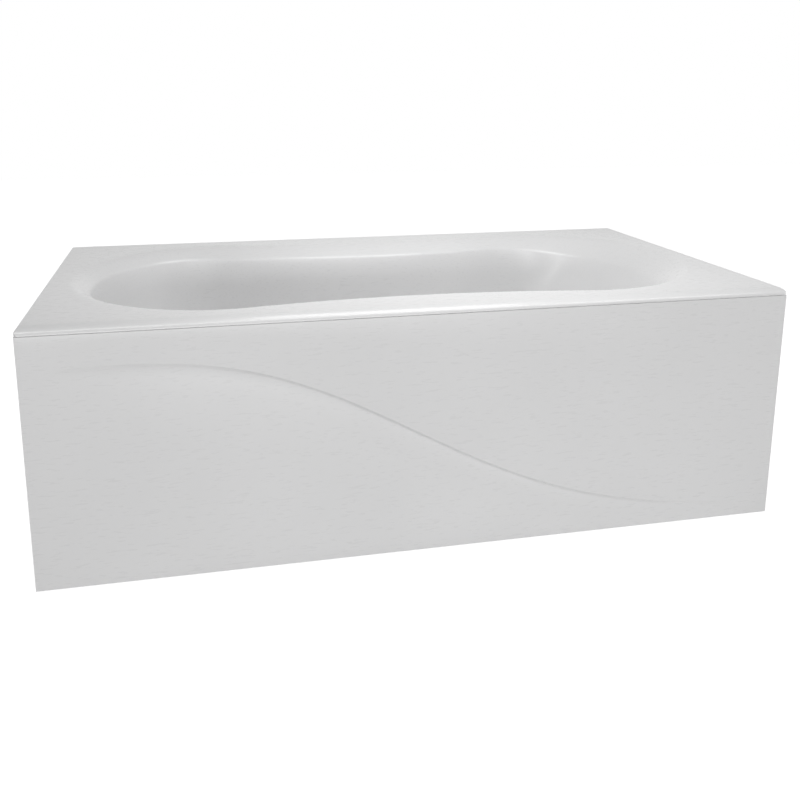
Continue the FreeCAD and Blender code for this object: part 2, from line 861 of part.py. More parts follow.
def wall_bracket(x):
    top = batten_bottom - seat_gap
    half = wall_bracket_width / 2
    inner = half_width - acrylic - 3 - back_batten_width
    flat = box(x - half, x + half, inner, half_width, top - wall_bracket_steel, top)
    drop = box(x - half, x + half, half_width - wall_bracket_steel, half_width,
               top - wall_bracket_drop, top)
    hole = rod(wall_hole_r, Vector(x, half_width + 1, top - wall_bracket_drop + 15),
               Vector(0, -1, 0), 5)
    return flat.fuse(drop).removeSplitter().cut([hole] + wall_screw_shanks(0.3))


def wall_bracket_screws():
    screws = []
    for point, shank in zip(wall_screw_points(), wall_screw_shanks()):
        head = rod(4.0, point - Vector(0, 0, 2.5 + seat_gap), Vector(0, 0, 1), 2.5)
        neck = rod(2.0, point - Vector(0, 0, 1), Vector(0, 0, 1), 2)
        screws.append(joined([head, neck, shank]))
    return Part.makeCompound(screws)


# ---- pop-up waste -------------------------------------------------------------------------

lower_seal_top = recess_z - acrylic - seat_gap
body_top = lower_seal_top - seal_height - seat_gap
chamber_bottom = body_top - waste_flange_height - chamber_height
sleeve_bottom = recess_z - sleeve_length
flange_bottom = recess_z + seat_gap + upper_seal_height + seat_gap
plug_bottom = flange_bottom + flange_rim + 0.3
stem_bottom = plug_bottom - plug_stem_length
lever_z = stem_bottom - lever_drop
hose_z = chamber_bottom + chamber_wall + 15


def waste_flange():
    top = flange_bottom + flange_rim
    bore = sleeve_r - sleeve_wall
    dish = post(flange_r, waste_x, 0, flange_bottom, top)
    dish = dish.makeFillet(1.2, [dish.Edges[0]])
    bowl = Part.makeCone(bore, plug_r + 1, bowl_depth + 0.01,
                         Vector(waste_x, 0, top - bowl_depth), Vector(0, 0, 1))
    sleeve = post(sleeve_r, waste_x, 0, sleeve_bottom, top - bowl_depth)
    body = dish.fuse(sleeve).cut([bowl, post(bore, waste_x, 0, sleeve_bottom - 1, top)])
    arms = [turned(box(waste_x + plug_stem_r + 1, waste_x + bore + 1, -1.5, 1.5,
                       sleeve_bottom, sleeve_bottom + spider_height),
                   Vector(waste_x, 0, 0), Vector(0, 0, 1), 120 * i) for i in range(3)]
    hub = ring(plug_stem_r + 3, plug_stem_r + running_fit, waste_x, 0,
               sleeve_bottom, sleeve_bottom + spider_height)
    return joined([body, hub] + arms)


def waste_upper_seal():
    return ring(flange_r - 1, waste_hole_r, waste_x, 0, recess_z + seat_gap,
                recess_z + seat_gap + upper_seal_height)


def waste_lower_seal():
    return ring(waste_flange_r - 2, waste_hole_r, waste_x, 0, lower_seal_top - seal_height,
                lower_seal_top)


def waste_body():
    inner = chamber_r - chamber_wall
    flange_low = body_top - waste_flange_height
    outside = joined([
        post(waste_flange_r, waste_x, 0, flange_low, body_top),
        post(chamber_r, waste_x, 0, chamber_bottom, flange_low + 1),
        post(tail_r, waste_x, 0, chamber_bottom - tail_length, chamber_bottom + 1),
        rod(spigot_r, Vector(waste_x - inner - 1, 0, hose_z), Vector(-1, 0, 0),
            spigot_length + chamber_wall + 1),
        rod(gland_r, Vector(waste_x - 12, cable_offset, hose_z), Vector(-1, 0, 0),
            gland_length + 14),
    ])
    inside = [
        post(inner, waste_x, 0, chamber_bottom + chamber_wall, sleeve_bottom),
        post(sleeve_r + running_fit, waste_x, 0, chamber_bottom + chamber_wall, body_top + 1),
        post(tail_r - tail_wall, waste_x, 0, chamber_bottom - tail_length - 1, body_top),
        rod(spigot_bore, Vector(waste_x - 10, 0, hose_z), Vector(-1, 0, 0), 60),
        rod(cable_r + running_fit, Vector(waste_x - 21, cable_offset, hose_z), Vector(-1, 0, 0), 40),
        rod(lever_pin_r + running_fit, Vector(waste_x + lever_arm, -40, lever_z),
            Vector(0, 1, 0), 80),
    ]
    return outside.cut(inside)


def waste_plug():
    z = plug_bottom
    cap = [Vector(0, 0, z), Vector(plug_r - 1, 0, z), Vector(plug_r, 0, z + 0.8),
           Vector(plug_r - 1.5, 0, z + 2.6), Vector(plug_r - 9, 0, z + plug_height - 1.2),
           Vector(0, 0, z + plug_height - 0.2)]
    cap = moved(revolved(cap, Vector(0, 0, 0), Vector(0, 0, 1)), waste_x, 0, 0)
    groove = ring(plug_seal_r + seat_gap, plug_seal_r - plug_seal_width - seat_gap, waste_x, 0,
                  z - 1, z + plug_seal_height / 2 + seat_gap)
    stem = post(plug_stem_r, waste_x, 0, stem_bottom, z + 1)
    return cap.cut(groove).fuse(stem)


def plug_seal():
    top = plug_bottom + plug_seal_height / 2
    return ring(plug_seal_r, plug_seal_r - plug_seal_width, waste_x, 0, top - plug_seal_height, top)


def lift_lever():
    pivot_x = waste_x + lever_arm
    top = stem_bottom - 0.3
    arm = box(waste_x - 4, pivot_x + 4, -lever_width / 2, lever_width / 2,
              top - lever_height / 2, top)
    boss = rod(5.0, Vector(pivot_x, -lever_width / 2, lever_z), Vector(0, 1, 0), lever_width)
    bore = rod(lever_pin_r + running_fit, Vector(pivot_x, -20, lever_z), Vector(0, 1, 0), 40)
    return arm.fuse(boss).cut(bore)


def lever_pin():
    reach = math.sqrt(chamber_r ** 2 - lever_arm ** 2)
    return rod(lever_pin_r, Vector(waste_x + lever_arm, -reach, lever_z), Vector(0, 1, 0), 2 * reach)


# ---- trap ---------------------------------------------------------------------------------

tail_bottom = chamber_bottom - tail_length
trap_top = tail_bottom - seat_gap - 1.5


def bent_tube(r):
    # down from the inlet, round the water seal, up, and out towards the back wall
    low_z = trap_ground_gap + trap_r + trap_bend
    up_y = 2 * trap_bend
    elbow_z = trap_outlet_z - trap_elbow
    circle = Part.Face(Part.Wire(Part.makeCircle(r, Vector(0, 0, low_z), Vector(0, 0, 1))))
    seal_bend = circle.revolve(Vector(0, trap_bend, low_z), Vector(1, 0, 0), 180)
    upper = moved(circle, 0, up_y, elbow_z - low_z)
    elbow = upper.revolve(Vector(0, up_y + trap_elbow, elbow_z), Vector(-1, 0, 0), 90)
    return [post(r, 0, 0, low_z, trap_top), seal_bend,
            post(r, 0, up_y, low_z, elbow_z),
            elbow, rod(r, Vector(0, up_y + trap_elbow, trap_outlet_z), Vector(0, 1, 0), trap_spigot)]


def trap_body():
    outside = joined(bent_tube(trap_r))
    inlet = trap_top - trap_collar_height
    outside = outside.fuse(post(tail_r, 0, 0, inlet, trap_top))
    inside = joined(bent_tube(trap_r - trap_wall))
    return moved(outside.cut(inside), waste_x, 0, 0)


def trap_washer():
    return ring(tail_r - 0.5, trap_r - trap_wall, waste_x, 0, trap_top + seat_gap / 2,
                tail_bottom - seat_gap / 2)


def trap_nut():
    lip_top = trap_top - trap_collar_height - seat_gap
    bottom = lip_top - trap_lip
    nut = hexagon(trap_nut_flats, waste_x, 0, bottom, bottom + trap_nut_height)
    flats_round = Part.makeCone(trap_nut_flats / 2, trap_nut_flats / 2 + trap_nut_height,
                                trap_nut_height, Vector(waste_x, 0, bottom), Vector(0, 0, 1))
    nut = nut.common(flats_round)
    return nut.cut([post(trap_r + 0.2, waste_x, 0, bottom - 1, lip_top + 1),
                    post(tail_r + running_fit, waste_x, 0, lip_top, bottom + trap_nut_height + 1)])


# ---- overflow, drawn along +X from the wall pad's face --------------------------------------

pad_back = -acrylic - 1
overflow_seal_back = pad_back - seat_gap - seal_height
overflow_body_front = overflow_seal_back - seat_gap
overflow_body_back = overflow_body_front - overflow_flange_height - overflow_cup_depth
lean = math.radians(waste_end_draft)
hose_u = (overflow_body_front - overflow_flange_height + overflow_body_back) / 2
hose_x = overflow_x + hose_u * math.cos(lean)
cup_centre_z = overflow_z + hose_u * math.sin(lean)
knob_back = seat_gap + trim_height + knob_stand


def overflow_body():
    cup_front = overflow_body_front - overflow_flange_height
    cup = at_overflow(joined([disc_x(overflow_flange_r, cup_front, overflow_body_front),
                              disc_x(overflow_cup_r, overflow_body_back, cup_front + 1)]))
    hose_spigot = post(spigot_r, hose_x, 0, cup_centre_z - overflow_cup_r - spigot_length,
                       cup_centre_z - overflow_cup_r + 8)
    cable_gland = post(gland_r, hose_x, cable_offset, cup_centre_z - overflow_cup_r - 14,
                       cup_centre_z - 15)
    hollow = at_overflow(disc_x(overflow_cup_r - overflow_cup_wall,
                                overflow_body_back + overflow_cup_wall, overflow_body_front + 1))
    body = joined([cup, hose_spigot, cable_gland]).cut(hollow)
    bosses = [at_overflow(moved(disc_x(4.5, overflow_body_back + 1, pad_back + 4),
                                0, side * trim_screw_offset, 0)) for side in (-1, 1)]
    bearing = at_overflow(disc_x(spindle_r + 3, overflow_body_back + 1, overflow_body_back + 9))
    body = joined([body, bearing] + bosses)
    cuts = [
        post(spigot_bore, hose_x, 0, cup_centre_z - 70, cup_centre_z - 10),
        post(cable_r + running_fit, hose_x, cable_offset, cup_centre_z - 60, cup_centre_z - 15),
        at_overflow(disc_x(spindle_r + running_fit, overflow_body_back + 4,
                           overflow_body_back + 20)),
    ]
    cuts += [at_overflow(s) for s in trim_screw_shanks(running_fit)]
    return body.cut(cuts)


def overflow_seal():
    return at_overflow(ring_x(overflow_flange_r - 1, overflow_hole_r, overflow_seal_back,
                              overflow_seal_back + seal_height))


def trim_screw_shanks(clearance=0.0):
    return [moved(disc_x(trim_screw_r + clearance, pad_back - 12 - clearance, seat_gap + 1.5),
                  0, side * trim_screw_offset, 0) for side in (-1, 1)]


def overflow_trim():
    front_u = seat_gap + trim_height
    plate = disc_x(trim_r, seat_gap, front_u)
    plate = plate.makeFillet(1.5, [e for e in plate.Edges if e.BoundBox.XMin > front_u - 0.01])
    windows = ring_x(trim_window_outer, trim_window_inner, -1, front_u + 1)
    bridge = box(-2, front_u + 2, -trim_r, trim_r, -trim_bridge / 2, trim_bridge / 2)
    hub = disc_x(spindle_r + 3, seat_gap, front_u + 1.5)
    plate = plate.cut(windows.cut(bridge)).fuse(hub)
    bores = [disc_x(spindle_r + running_fit, -1, front_u + 3)] + trim_screw_shanks(running_fit)
    for side in (-1, 1):
        bores.append(moved(disc_x(4.0, seat_gap + 1.5, front_u + 1), 0, side * trim_screw_offset, 0))
    return at_overflow(plate.cut(bores))


def trim_screws():
    screws = []
    for side, shank in zip((-1, 1), trim_screw_shanks()):
        head = moved(disc_x(3.8, seat_gap + 1.5, seat_gap + trim_height), 0,
                     side * trim_screw_offset, 0)
        screws.append(at_overflow(head.fuse(shank)))
    return Part.makeCompound(screws)


def overflow_knob():
    u0 = knob_back
    u1 = knob_back + knob_height
    rim = [Vector(u0, 0, 0), Vector(u0, knob_r - 1, 0), Vector(u0 + 1, knob_r, 0),
           Vector(u1 - 5, knob_r - 1, 0), Vector(u1 - 1.5, knob_r - 3.5, 0),
           Vector(u1, knob_r - 7, 0), Vector(u1 - 1.5, 0, 0)]
    knob = revolved(rim, Vector(0, 0, 0), Vector(1, 0, 0))
    hollow = [Vector(u0 - 1, 0, 0), Vector(u0 - 1, knob_r - knob_wall, 0),
              Vector(u1 - 6, knob_r - knob_wall - 1, 0), Vector(u1 - 4.5, 0, 0)]
    knob = knob.cut(revolved(hollow, Vector(0, 0, 0), Vector(1, 0, 0)))
    hub = disc_x(knob_hub_r, u0 - 2, u1 - 3)
    knob = knob.fuse(hub)
    cuts = [disc_x(spindle_r + running_fit, u0 - 3, u1 - 5)]
    for i in range(knob_grips):
        a = math.radians(360 / knob_grips * i)
        grip = moved(disc_x(9.0, u0 - 1, u1 + 1), 0, (knob_r + 6.5) * math.cos(a),
                     (knob_r + 6.5) * math.sin(a))
        cuts.append(grip)
    cuts.append(rod(1.5 + running_fit, Vector(u0 + 1, 0, 0), Vector(0, 0, 1), knob_hub_r + 1))
    return at_overflow(knob.cut(cuts))


def knob_spindle():
    front_u = knob_back + knob_height - 5.2
    spindle = disc_x(spindle_r, front_u - spindle_length, front_u)
    flat = rod(1.5 + running_fit, Vector(knob_back + 1, 0, spindle_r - 0.8), Vector(0, 0, 1), 4)
    return at_overflow(spindle.cut(flat))


def knob_screw():
    return at_overflow(rod(1.5, Vector(knob_back + 1, 0, spindle_r - 0.7), Vector(0, 0, 1),
                           knob_hub_r - spindle_r))


def overflow_cam():
    u0 = overflow_body_back + 10
    wheel = disc_x(cam_r, u0, u0 + cam_height)
    groove = ring_x(cam_r + 1, cam_r - 2, u0 + 2, u0 + cam_height - 2)
    wheel = wheel.cut([groove, disc_x(spindle_r + running_fit, u0 - 1, u0 + cam_height + 1)])
    return at_overflow(wheel)


# ---- overflow hose and control cable --------------------------------------------------------

hose_top = cup_centre_z - overflow_cup_r - 3
hose_end_x = waste_x - chamber_r - 1


def bend_path(x, y, top, bottom, end_x, r):
    # straight down, one round bend, straight along +X: points and directions at any distance
    down = top - bottom - r
    turn = r * math.pi / 2
    along = end_x - x - r
    total = down + turn + along

    def at(s):
        if s <= down:
            return Vector(x, y, top - s), Vector(0, 0, -1)
        if s <= down + turn:
            a = (s - down) / r
            point = Vector(x + r * (1 - math.cos(a)), y, bottom + r - r * math.sin(a))
            return point, Vector(math.sin(a), 0, -math.cos(a))
        return Vector(x + r + s - down - turn, y, bottom), Vector(1, 0, 0)

    return at, total


def plain_bend(section_r, x, y, top, bottom, end_x, r):
    upper = post(section_r, x, y, bottom + r, top)
    circle = Part.Face(Part.Wire(Part.makeCircle(section_r, Vector(x, y, bottom + r), Vector(0, 0, 1))))
    bend = circle.revolve(Vector(x + r, y, bottom + r), Vector(0, -1, 0), 90)
    lower = rod(section_r, Vector(x + r, y, bottom), Vector(1, 0, 0), end_x - x - r)
    return joined([upper, bend, lower])


def hose_circle(at, s, r):
    point, direction = at(s)
    circle = Part.Circle(point, direction, r)
    circle.XAxis = Vector(0, 1, 0)
    return Part.Wire(circle.toShape())


def overflow_hose():
    at, total = bend_path(hose_x, 0, hose_top, hose_z, hose_end_x, hose_bend)
    cuff = 2 * hose_crest
    count = int((total - 2 * cuff) / rib_pitch)
    start = (total - count * rib_pitch) / 2
    sections = [hose_circle(at, 0, hose_crest), hose_circle(at, start - 1, hose_crest)]
    for i in range(count):
        for share, r in ((0.0, hose_root), (0.3, hose_root), (0.5, hose_crest), (0.8, hose_crest)):
            sections.append(hose_circle(at, start + (i + share) * rib_pitch, r))
    sections.append(hose_circle(at, total - start + 1, hose_crest))
    sections.append(hose_circle(at, total, hose_crest))
    outer = Part.makeLoft(sections, True, True)
    bore = plain_bend(hose_bore, hose_x, 0, hose_top + 1, hose_z, hose_end_x + 1, hose_bend)
    return outer.cut(bore)


def hose_clips():
    inner = hose_crest + 0.1
    outer = inner + hose_clip_steel
    upper_z = hose_top - 6 - hose_clip_width
    upper = ring(outer, inner, hose_x, 0, upper_z, upper_z + hose_clip_width)
    lower = ring(outer, inner, 0, 0, 0, hose_clip_width)
    lower = turned(lower, Vector(0, 0, 0), Vector(0, 1, 0), 90)
    lower = moved(lower, hose_end_x - 6 - hose_clip_width, 0, hose_z)
    ear = box(-4, 4, -outer - 4, -inner - 0.4, 0, hose_clip_width)
    upper = upper.fuse(moved(ear, hose_x, 0, upper_z))
    lower_ear = moved(turned(ear, Vector(0, 0, 0), Vector(0, 1, 0), 90),
                      hose_end_x - 6 - hose_clip_width, 0, hose_z)
    return Part.makeCompound([upper, lower.fuse(lower_ear)])


def control_cable():
    top = cup_centre_z - overflow_cup_r + 4
    end_x = waste_x - chamber_r + 6
    return plain_bend(cable_r, hose_x, cable_offset, top, hose_z, end_x, cable_bend)


def gland_nuts():
    z1 = cup_centre_z - overflow_cup_r - 14 - seat_gap
    upper = hexagon(gland_nut_flats, hose_x, cable_offset, z1 - 6, z1)
    upper = upper.cut(post(cable_r + running_fit, hose_x, cable_offset, z1 - 7, z1 + 1))
    lower = hexagon(gland_nut_flats, 0, 0, 0, 6).cut(post(cable_r + running_fit, 0, 0, -1, 7))
    lower = turned(lower, Vector(0, 0, 0), Vector(0, 1, 0), -90)
    gland_end = waste_x - 12 - gland_length - 14 - seat_gap
    return Part.makeCompound([upper, moved(lower, gland_end, cable_offset, hose_z)])


def cable_ties():
    ties = []
    inner_hose = hose_crest + 0.15
    inner_cable = cable_r + 0.15
    upright = hose_top - hose_z - hose_bend
    for share in tie_shares:
        z = hose_top - share * upright

        def loop(grow):
            hose_side = post(inner_hose + grow, hose_x, 0, z, z + tie_width)
            cable_side = post(inner_cable + grow, hose_x, cable_offset, z, z + tie_width)
            web = box(hose_x - 2 - grow, hose_x + 2 + grow, 0, cable_offset, z, z + tie_width)
            return joined([hose_side, cable_side, web])
        ties.append(loop(tie_thickness).cut(loop(0)))
    return Part.makeCompound(ties)


# ---- every piece under its name -----------------------------------------------------------

def all_pieces():
    pieces = {
        "tub_shell": tub_shell(),
        "glassfibre_backing": glassfibre_backing(),
        "base_board": base_board(),
        "leg_screws": leg_screws(),
        "weld_nuts": foot_nuts(True),
        "lock_nuts": foot_nuts(False),
        "front_panel": front_panel(),
        "panel_upper_batten": panel_batten(upper_batten_z, panel_batten_depth),
        "panel_lower_batten": panel_batten(lower_batten_z, lower_batten_depth),
        "panel_clips": panel_clips(),
        "clip_screws": clip_screws(),
        "bracket_bolts": bracket_bolts(),
        "bracket_nuts": bracket_nuts(),
        "panel_catches": panel_catches(),
        "strike_plates": strike_plates(),
        "wall_bracket_screws": wall_bracket_screws(),
        "waste_flange": waste_flange(),
        "waste_upper_seal": waste_upper_seal(),
        "waste_lower_seal": waste_lower_seal(),
        "waste_body": waste_body(),
        "waste_plug": waste_plug(),
        "plug_seal": plug_seal(),
        "lift_lever": lift_lever(),
        "lever_pin": lever_pin(),
        "trap_body": trap_body(),
        "trap_washer": trap_washer(),
        "trap_nut": trap_nut(),
        "overflow_body": overflow_body(),
        "overflow_seal": overflow_seal(),
        "overflow_trim": overflow_trim(),
        "trim_screws": trim_screws(),
        "overflow_knob": overflow_knob(),
        "knob_spindle": knob_spindle(),
        "knob_screw": knob_screw(),
        "overflow_cam": overflow_cam(),
        "overflow_hose": overflow_hose(),
        "hose_clips": hose_clips(),
        "control_cable": control_cable(),
        "gland_nuts": gland_nuts(),
        "cable_ties": cable_ties(),
    }
    for name, batten in rim_battens().items():
        pieces["rim_batten_" + name] = batten
    for end, x in bar_positions.items():
        pieces["leg_bar_" + end] = leg_bar(x)
        pieces["panel_bracket_" + end] = panel_bracket(x)
    for name, x in zip(("left", "right"), wall_bracket_positions):
        pieces["wall_bracket_" + name] = wall_bracket(x)
    for name, (x, y) in foot_places().items():
        pieces["foot_stem_" + name] = foot_stem(x, y)
        pieces["foot_pad_" + name] = foot_pad(x, y)
    return pieces


os.makedirs("parts", exist_ok=True)
for name, shape in sorted(all_pieces().items()):
    shape.exportStep("parts/" + name + ".step")
    print(name, len(shape.Solids), "solids,", "valid" if shape.isValid() else "NOT VALID,",
          round(shape.Volume / 1000, 2), "cm3")
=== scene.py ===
import json
import math

import bmesh
import bpy
from mathutils import Matrix, Vector


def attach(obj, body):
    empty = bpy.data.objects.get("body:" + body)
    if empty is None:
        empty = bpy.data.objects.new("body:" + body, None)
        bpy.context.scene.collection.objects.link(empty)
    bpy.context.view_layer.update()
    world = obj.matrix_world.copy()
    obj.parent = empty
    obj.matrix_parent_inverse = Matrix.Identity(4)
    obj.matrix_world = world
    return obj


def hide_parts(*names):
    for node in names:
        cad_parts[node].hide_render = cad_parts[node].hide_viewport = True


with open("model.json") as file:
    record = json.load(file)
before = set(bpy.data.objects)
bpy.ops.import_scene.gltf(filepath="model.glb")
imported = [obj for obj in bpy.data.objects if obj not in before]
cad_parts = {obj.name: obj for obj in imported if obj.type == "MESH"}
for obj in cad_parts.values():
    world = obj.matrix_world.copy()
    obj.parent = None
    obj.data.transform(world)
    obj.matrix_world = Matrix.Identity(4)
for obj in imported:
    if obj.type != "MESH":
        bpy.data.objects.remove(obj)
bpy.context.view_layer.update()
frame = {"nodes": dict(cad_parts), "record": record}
print("scene: frame loaded,", len(frame["nodes"]), "nodes")


def add(tree, kind, inputs=(), **settings):
    # a node with its settings; each input is a value or another node's output
    node = tree.nodes.new(kind)
    for key, value in settings.items():
        setattr(node, key, value)
    for slot, value in inputs.items() if isinstance(inputs, dict) else enumerate(inputs):
        if isinstance(value, bpy.types.NodeSocket):
            tree.links.new(value, node.inputs[slot])
        elif value is not None:
            node.inputs[slot].default_value = value
    return node


def maths(tree, operation, *values):
    return add(tree, "ShaderNodeMath", values, operation=operation).outputs[0]


def clamp(value):
    return max(0.0, min(1.0, value))


def smoothStep(value):
    t = clamp(value)
    return t * t * (3 - 2 * t)


def pick(values, *keys):
    return [values[key] for key in keys]


# camera, light and floor

photoView = {
    "place": (-0.43751, -1.94512, 0.91087),
    "pitch": -12.168,          # degrees below level
    "yaw": 11.949,             # degrees from +Y towards +X
    "focalPixels": 877.84,
    "centrePixels": (377.96, 273.11),
    "imagePixels": 800,
    "sensor": 36.0,
}


def setCamera(v):
    camera = bpy.data.cameras.new("photoCamera")
    camera.sensor_width = v["sensor"]
    camera.lens = v["focalPixels"] / v["imagePixels"] * v["sensor"]
    camera.shift_x = 0.5 - v["centrePixels"][0] / v["imagePixels"]
    camera.shift_y = v["centrePixels"][1] / v["imagePixels"] - 0.5
    holder = bpy.data.objects.new("photoCamera", camera)
    holder.location = v["place"]
    holder.rotation_euler = (math.radians(90 + v["pitch"]), 0, math.radians(-v["yaw"]))
    bpy.context.scene.collection.objects.link(holder)
    bpy.context.scene.camera = holder


studio = {
    "worldLevel": 0.25,
    "floorLevel": 0.95,
    "floorPaint": 0.50, "floorSize": 14, "floorZ": -0.0004,
    "softboxes": [
        # name, place, aim, size across and along, watts, whether it lights or only gives highlights
        ("topSoftbox", (0.12, -0.21, 1.42), (0.15, -0.05, 0.4), 0.8, 0.6, 6.9, True),
        ("frontSoftbox", (-0.15, -4.6, 0.62), (0.1, 0.0, 0.3), 4.0, 1.1, 86.0, True),
        ("edgeStrip", (-0.1, -0.62, 1.25), (-0.1, -0.40, 0.49), 2.6, 0.10, 6.5, False),
    ],
}


def mixByEye(tree, plain, white):
    # the camera, mirrors and glass see the white shader, and other rays see the plain one
    path = add(tree, "ShaderNodeLightPath")
    seen = maths(tree, "MAXIMUM", path.outputs["Is Camera Ray"], path.outputs["Is Glossy Ray"])
    seen = maths(tree, "MAXIMUM", seen, path.outputs["Is Transmission Ray"])
    return add(tree, "ShaderNodeMixShader", [seen, plain.outputs[0], white.outputs[0]]).outputs[0]


def setStudio(s):
    world = bpy.data.worlds.new("studioWorld")
    bpy.context.scene.world = world
    world.use_nodes = True
    tree = world.node_tree
    tree.nodes.clear()
    room = add(tree, "ShaderNodeBackground", [(1, 1, 1, 1), s["worldLevel"]])
    white = add(tree, "ShaderNodeBackground", [(1, 1, 1, 1), 1.0])
    add(tree, "ShaderNodeOutputWorld", [mixByEye(tree, room, white)])
    for name, place, aim, across, along, watts, lights in s["softboxes"]:
        light = bpy.data.lights.new(name, "AREA")
        light.shape = "RECTANGLE"
        light.size = across
        light.size_y = along
        light.energy = watts
        holder = bpy.data.objects.new(name, light)
        holder.location = place
        holder.visible_diffuse = lights
        way = Vector(aim) - Vector(place)
        holder.rotation_euler = way.to_track_quat("-Z", "Y").to_euler()
        bpy.context.scene.collection.objects.link(holder)


def setFloor(s):
    bpy.ops.mesh.primitive_plane_add(size=s["floorSize"], location=(0, 0, s["floorZ"]))
    floor = bpy.context.object
    floor.name = "studioFloor"
    material = bpy.data.materials.new("studioFloor")
    material.use_nodes = True
    tree = material.node_tree
    tree.nodes.clear()
    paint = add(tree, "ShaderNodeBsdfDiffuse", [(*[s["floorPaint"]] * 3, 1)])
    glow = add(tree, "ShaderNodeEmission", [(1, 1, 1, 1), s["floorLevel"]])
    both = add(tree, "ShaderNodeAddShader", [paint.outputs[0], glow.outputs[0]])
    add(tree, "ShaderNodeOutputMaterial", [mixByEye(tree, paint, both)])
    floor.data.materials.append(material)


bpy.context.scene.view_settings.view_transform = "Standard"
setCamera(photoView)
setStudio(studio)
setFloor(studio)
print("scene: camera, light and floor set")

# materials, one for each finish


def newMaterial(name, color, roughness, metallic=0.0, **extra):
    material = bpy.data.materials.new(name)
    material.use_nodes = True
    shader = material.node_tree.nodes["Principled BSDF"]
    shader.inputs["Base Color"].default_value = (*color, 1)
    shader.inputs["Roughness"].default_value = roughness
    shader.inputs["Metallic"].default_value = metallic
    for socket, value in extra.items():
        shader.inputs[socket.replace("_", " ").title().replace("Ior", "IOR")].default_value = value
    return material, material.node_tree, shader


def objectPlace(tree, scale=(1, 1, 1), turn=(0, 0, 0)):
    place = add(tree, "ShaderNodeTexCoord").outputs["Object"]
    turn = [math.radians(a) for a in turn]
    inputs = {"Vector": place, "Rotation": turn, "Scale": scale}
    return add(tree, "ShaderNodeMapping", inputs).outputs["Vector"]


def noise(tree, vector, scale, detail=3.0, rough=0.5):
    inputs = {"Vector": vector, "Scale": scale, "Detail": detail, "Roughness": rough}
    return add(tree, "ShaderNodeTexNoise", inputs).outputs["Fac"]


def cells(tree, vector, scale, output="Color"):
    return add(tree, "ShaderNodeTexVoronoi", {"Vector": vector, "Scale": scale}).outputs[output]


def ramp(tree, value, *stops):
    # each stop is (place, colour or grey level)
    node = add(tree, "ShaderNodeValToRGB", [value])
    points = node.color_ramp.elements
    while len(points) < len(stops):
        points.new(0.5)
    for point, (place, level) in zip(points, stops):
        point.position = place
        point.color = (*level, 1) if isinstance(level, tuple) else (level, level, level, 1)
    return node.outputs["Color"]


def tinted(color, *levels):
    # each channel times its own level, or all three times the one level given
    levels = levels * 3 if len(levels) == 1 else levels
    return tuple(min(1.0, c * level) for c, level in zip(color, levels))


def paint(tree, shader, value, *stops):
    tree.links.new(ramp(tree, value, *stops), shader.inputs["Base Color"])


def wear(tree, shader, color, value, darker, lighter):
    # lets the colour drift a little about its middle
    paint(tree, shader, value, (0.35, tinted(color, darker)), (0.65, tinted(color, lighter)))


def rough(tree, shader, value, low, high):
    tree.links.new(ramp(tree, value, (0.3, low), (0.7, high)), shader.inputs["Roughness"])


def bump(tree, shader, height, strength, distance):
    node = add(tree, "ShaderNodeBump", {"Height": height, "Strength": strength, "Distance": distance})
    tree.links.new(node.outputs["Normal"], shader.inputs["Normal"])


def polishedAcrylic(name, color):
    # vacuum-formed sheet: even white, a faint orange peel and hairline polishing marks
    material, tree, shader = newMaterial(name, color, 0.28, ior=1.49, coat_weight=0.12,
                                         coat_roughness=0.14)
    place = objectPlace(tree)
    wear(tree, shader, color, noise(tree, place, 2.2, 2.0), 0.985, 1.012)
    marks = noise(tree, objectPlace(tree, (40, 900, 300), (0, 0, 20)), 1.0, 2.0)
    rough(tree, shader, marks, 0.27, 0.29)
    bump(tree, shader, noise(tree, place, 160.0, 1.0), 0.02, 0.0002)
    return material


def choppedStrand(name, color):
    # glass fibres at every angle under a rough, slightly yellow resin
    material, tree, shader = newMaterial(name, color, 0.42, ior=1.52, coat_weight=0.25,
                                         coat_roughness=0.3)
    strands = None
    for turn in ((0, 0, 12), (40, 0, 74), (0, 35, 131), (25, 60, 160)):
        layer = noise(tree, objectPlace(tree, (80, 560, 300), turn), 1.0, 1.0)
        strands = layer if strands is None else maths(tree, "MAXIMUM", strands, layer)
    pools = noise(tree, objectPlace(tree), 9.0, 3.0, 0.6)
    both = maths(tree, "MULTIPLY", strands, maths(tree, "ADD", pools, 0.55))
    dark = tinted(color, 0.80, 0.79, 0.70)
    light = (0.93, 0.925, 0.88)
    paint(tree, shader, both, (0.45, dark), (0.62, color), (0.80, light))
    rough(tree, shader, pools, 0.30, 0.58)
    bump(tree, shader, both, 0.8, 0.0011)
    return material


def flakeBoard(name, color):
    # particle board: pressed flakes in three tones with dark specks between
    material, tree, shader = newMaterial(name, color, 0.82)
    place = objectPlace(tree)
    bent = maths(tree, "MULTIPLY", noise(tree, place, 55.0), 0.02)
    shifted = add(tree, "ShaderNodeVectorMath", [place, bent], operation="ADD").outputs[0]
    flakes = add(tree, "ShaderNodeSeparateColor", [cells(tree, shifted, 210.0)]).outputs[0]
    paint(tree, shader, flakes, (0.0, tinted(color, 0.55)), (0.16, tinted(color, 0.86)),
          (0.55, color), (0.95, tinted(color, 1.30)))
    bump(tree, shader, cells(tree, shifted, 210.0, "Distance"), 0.5, 0.0006)
    return material


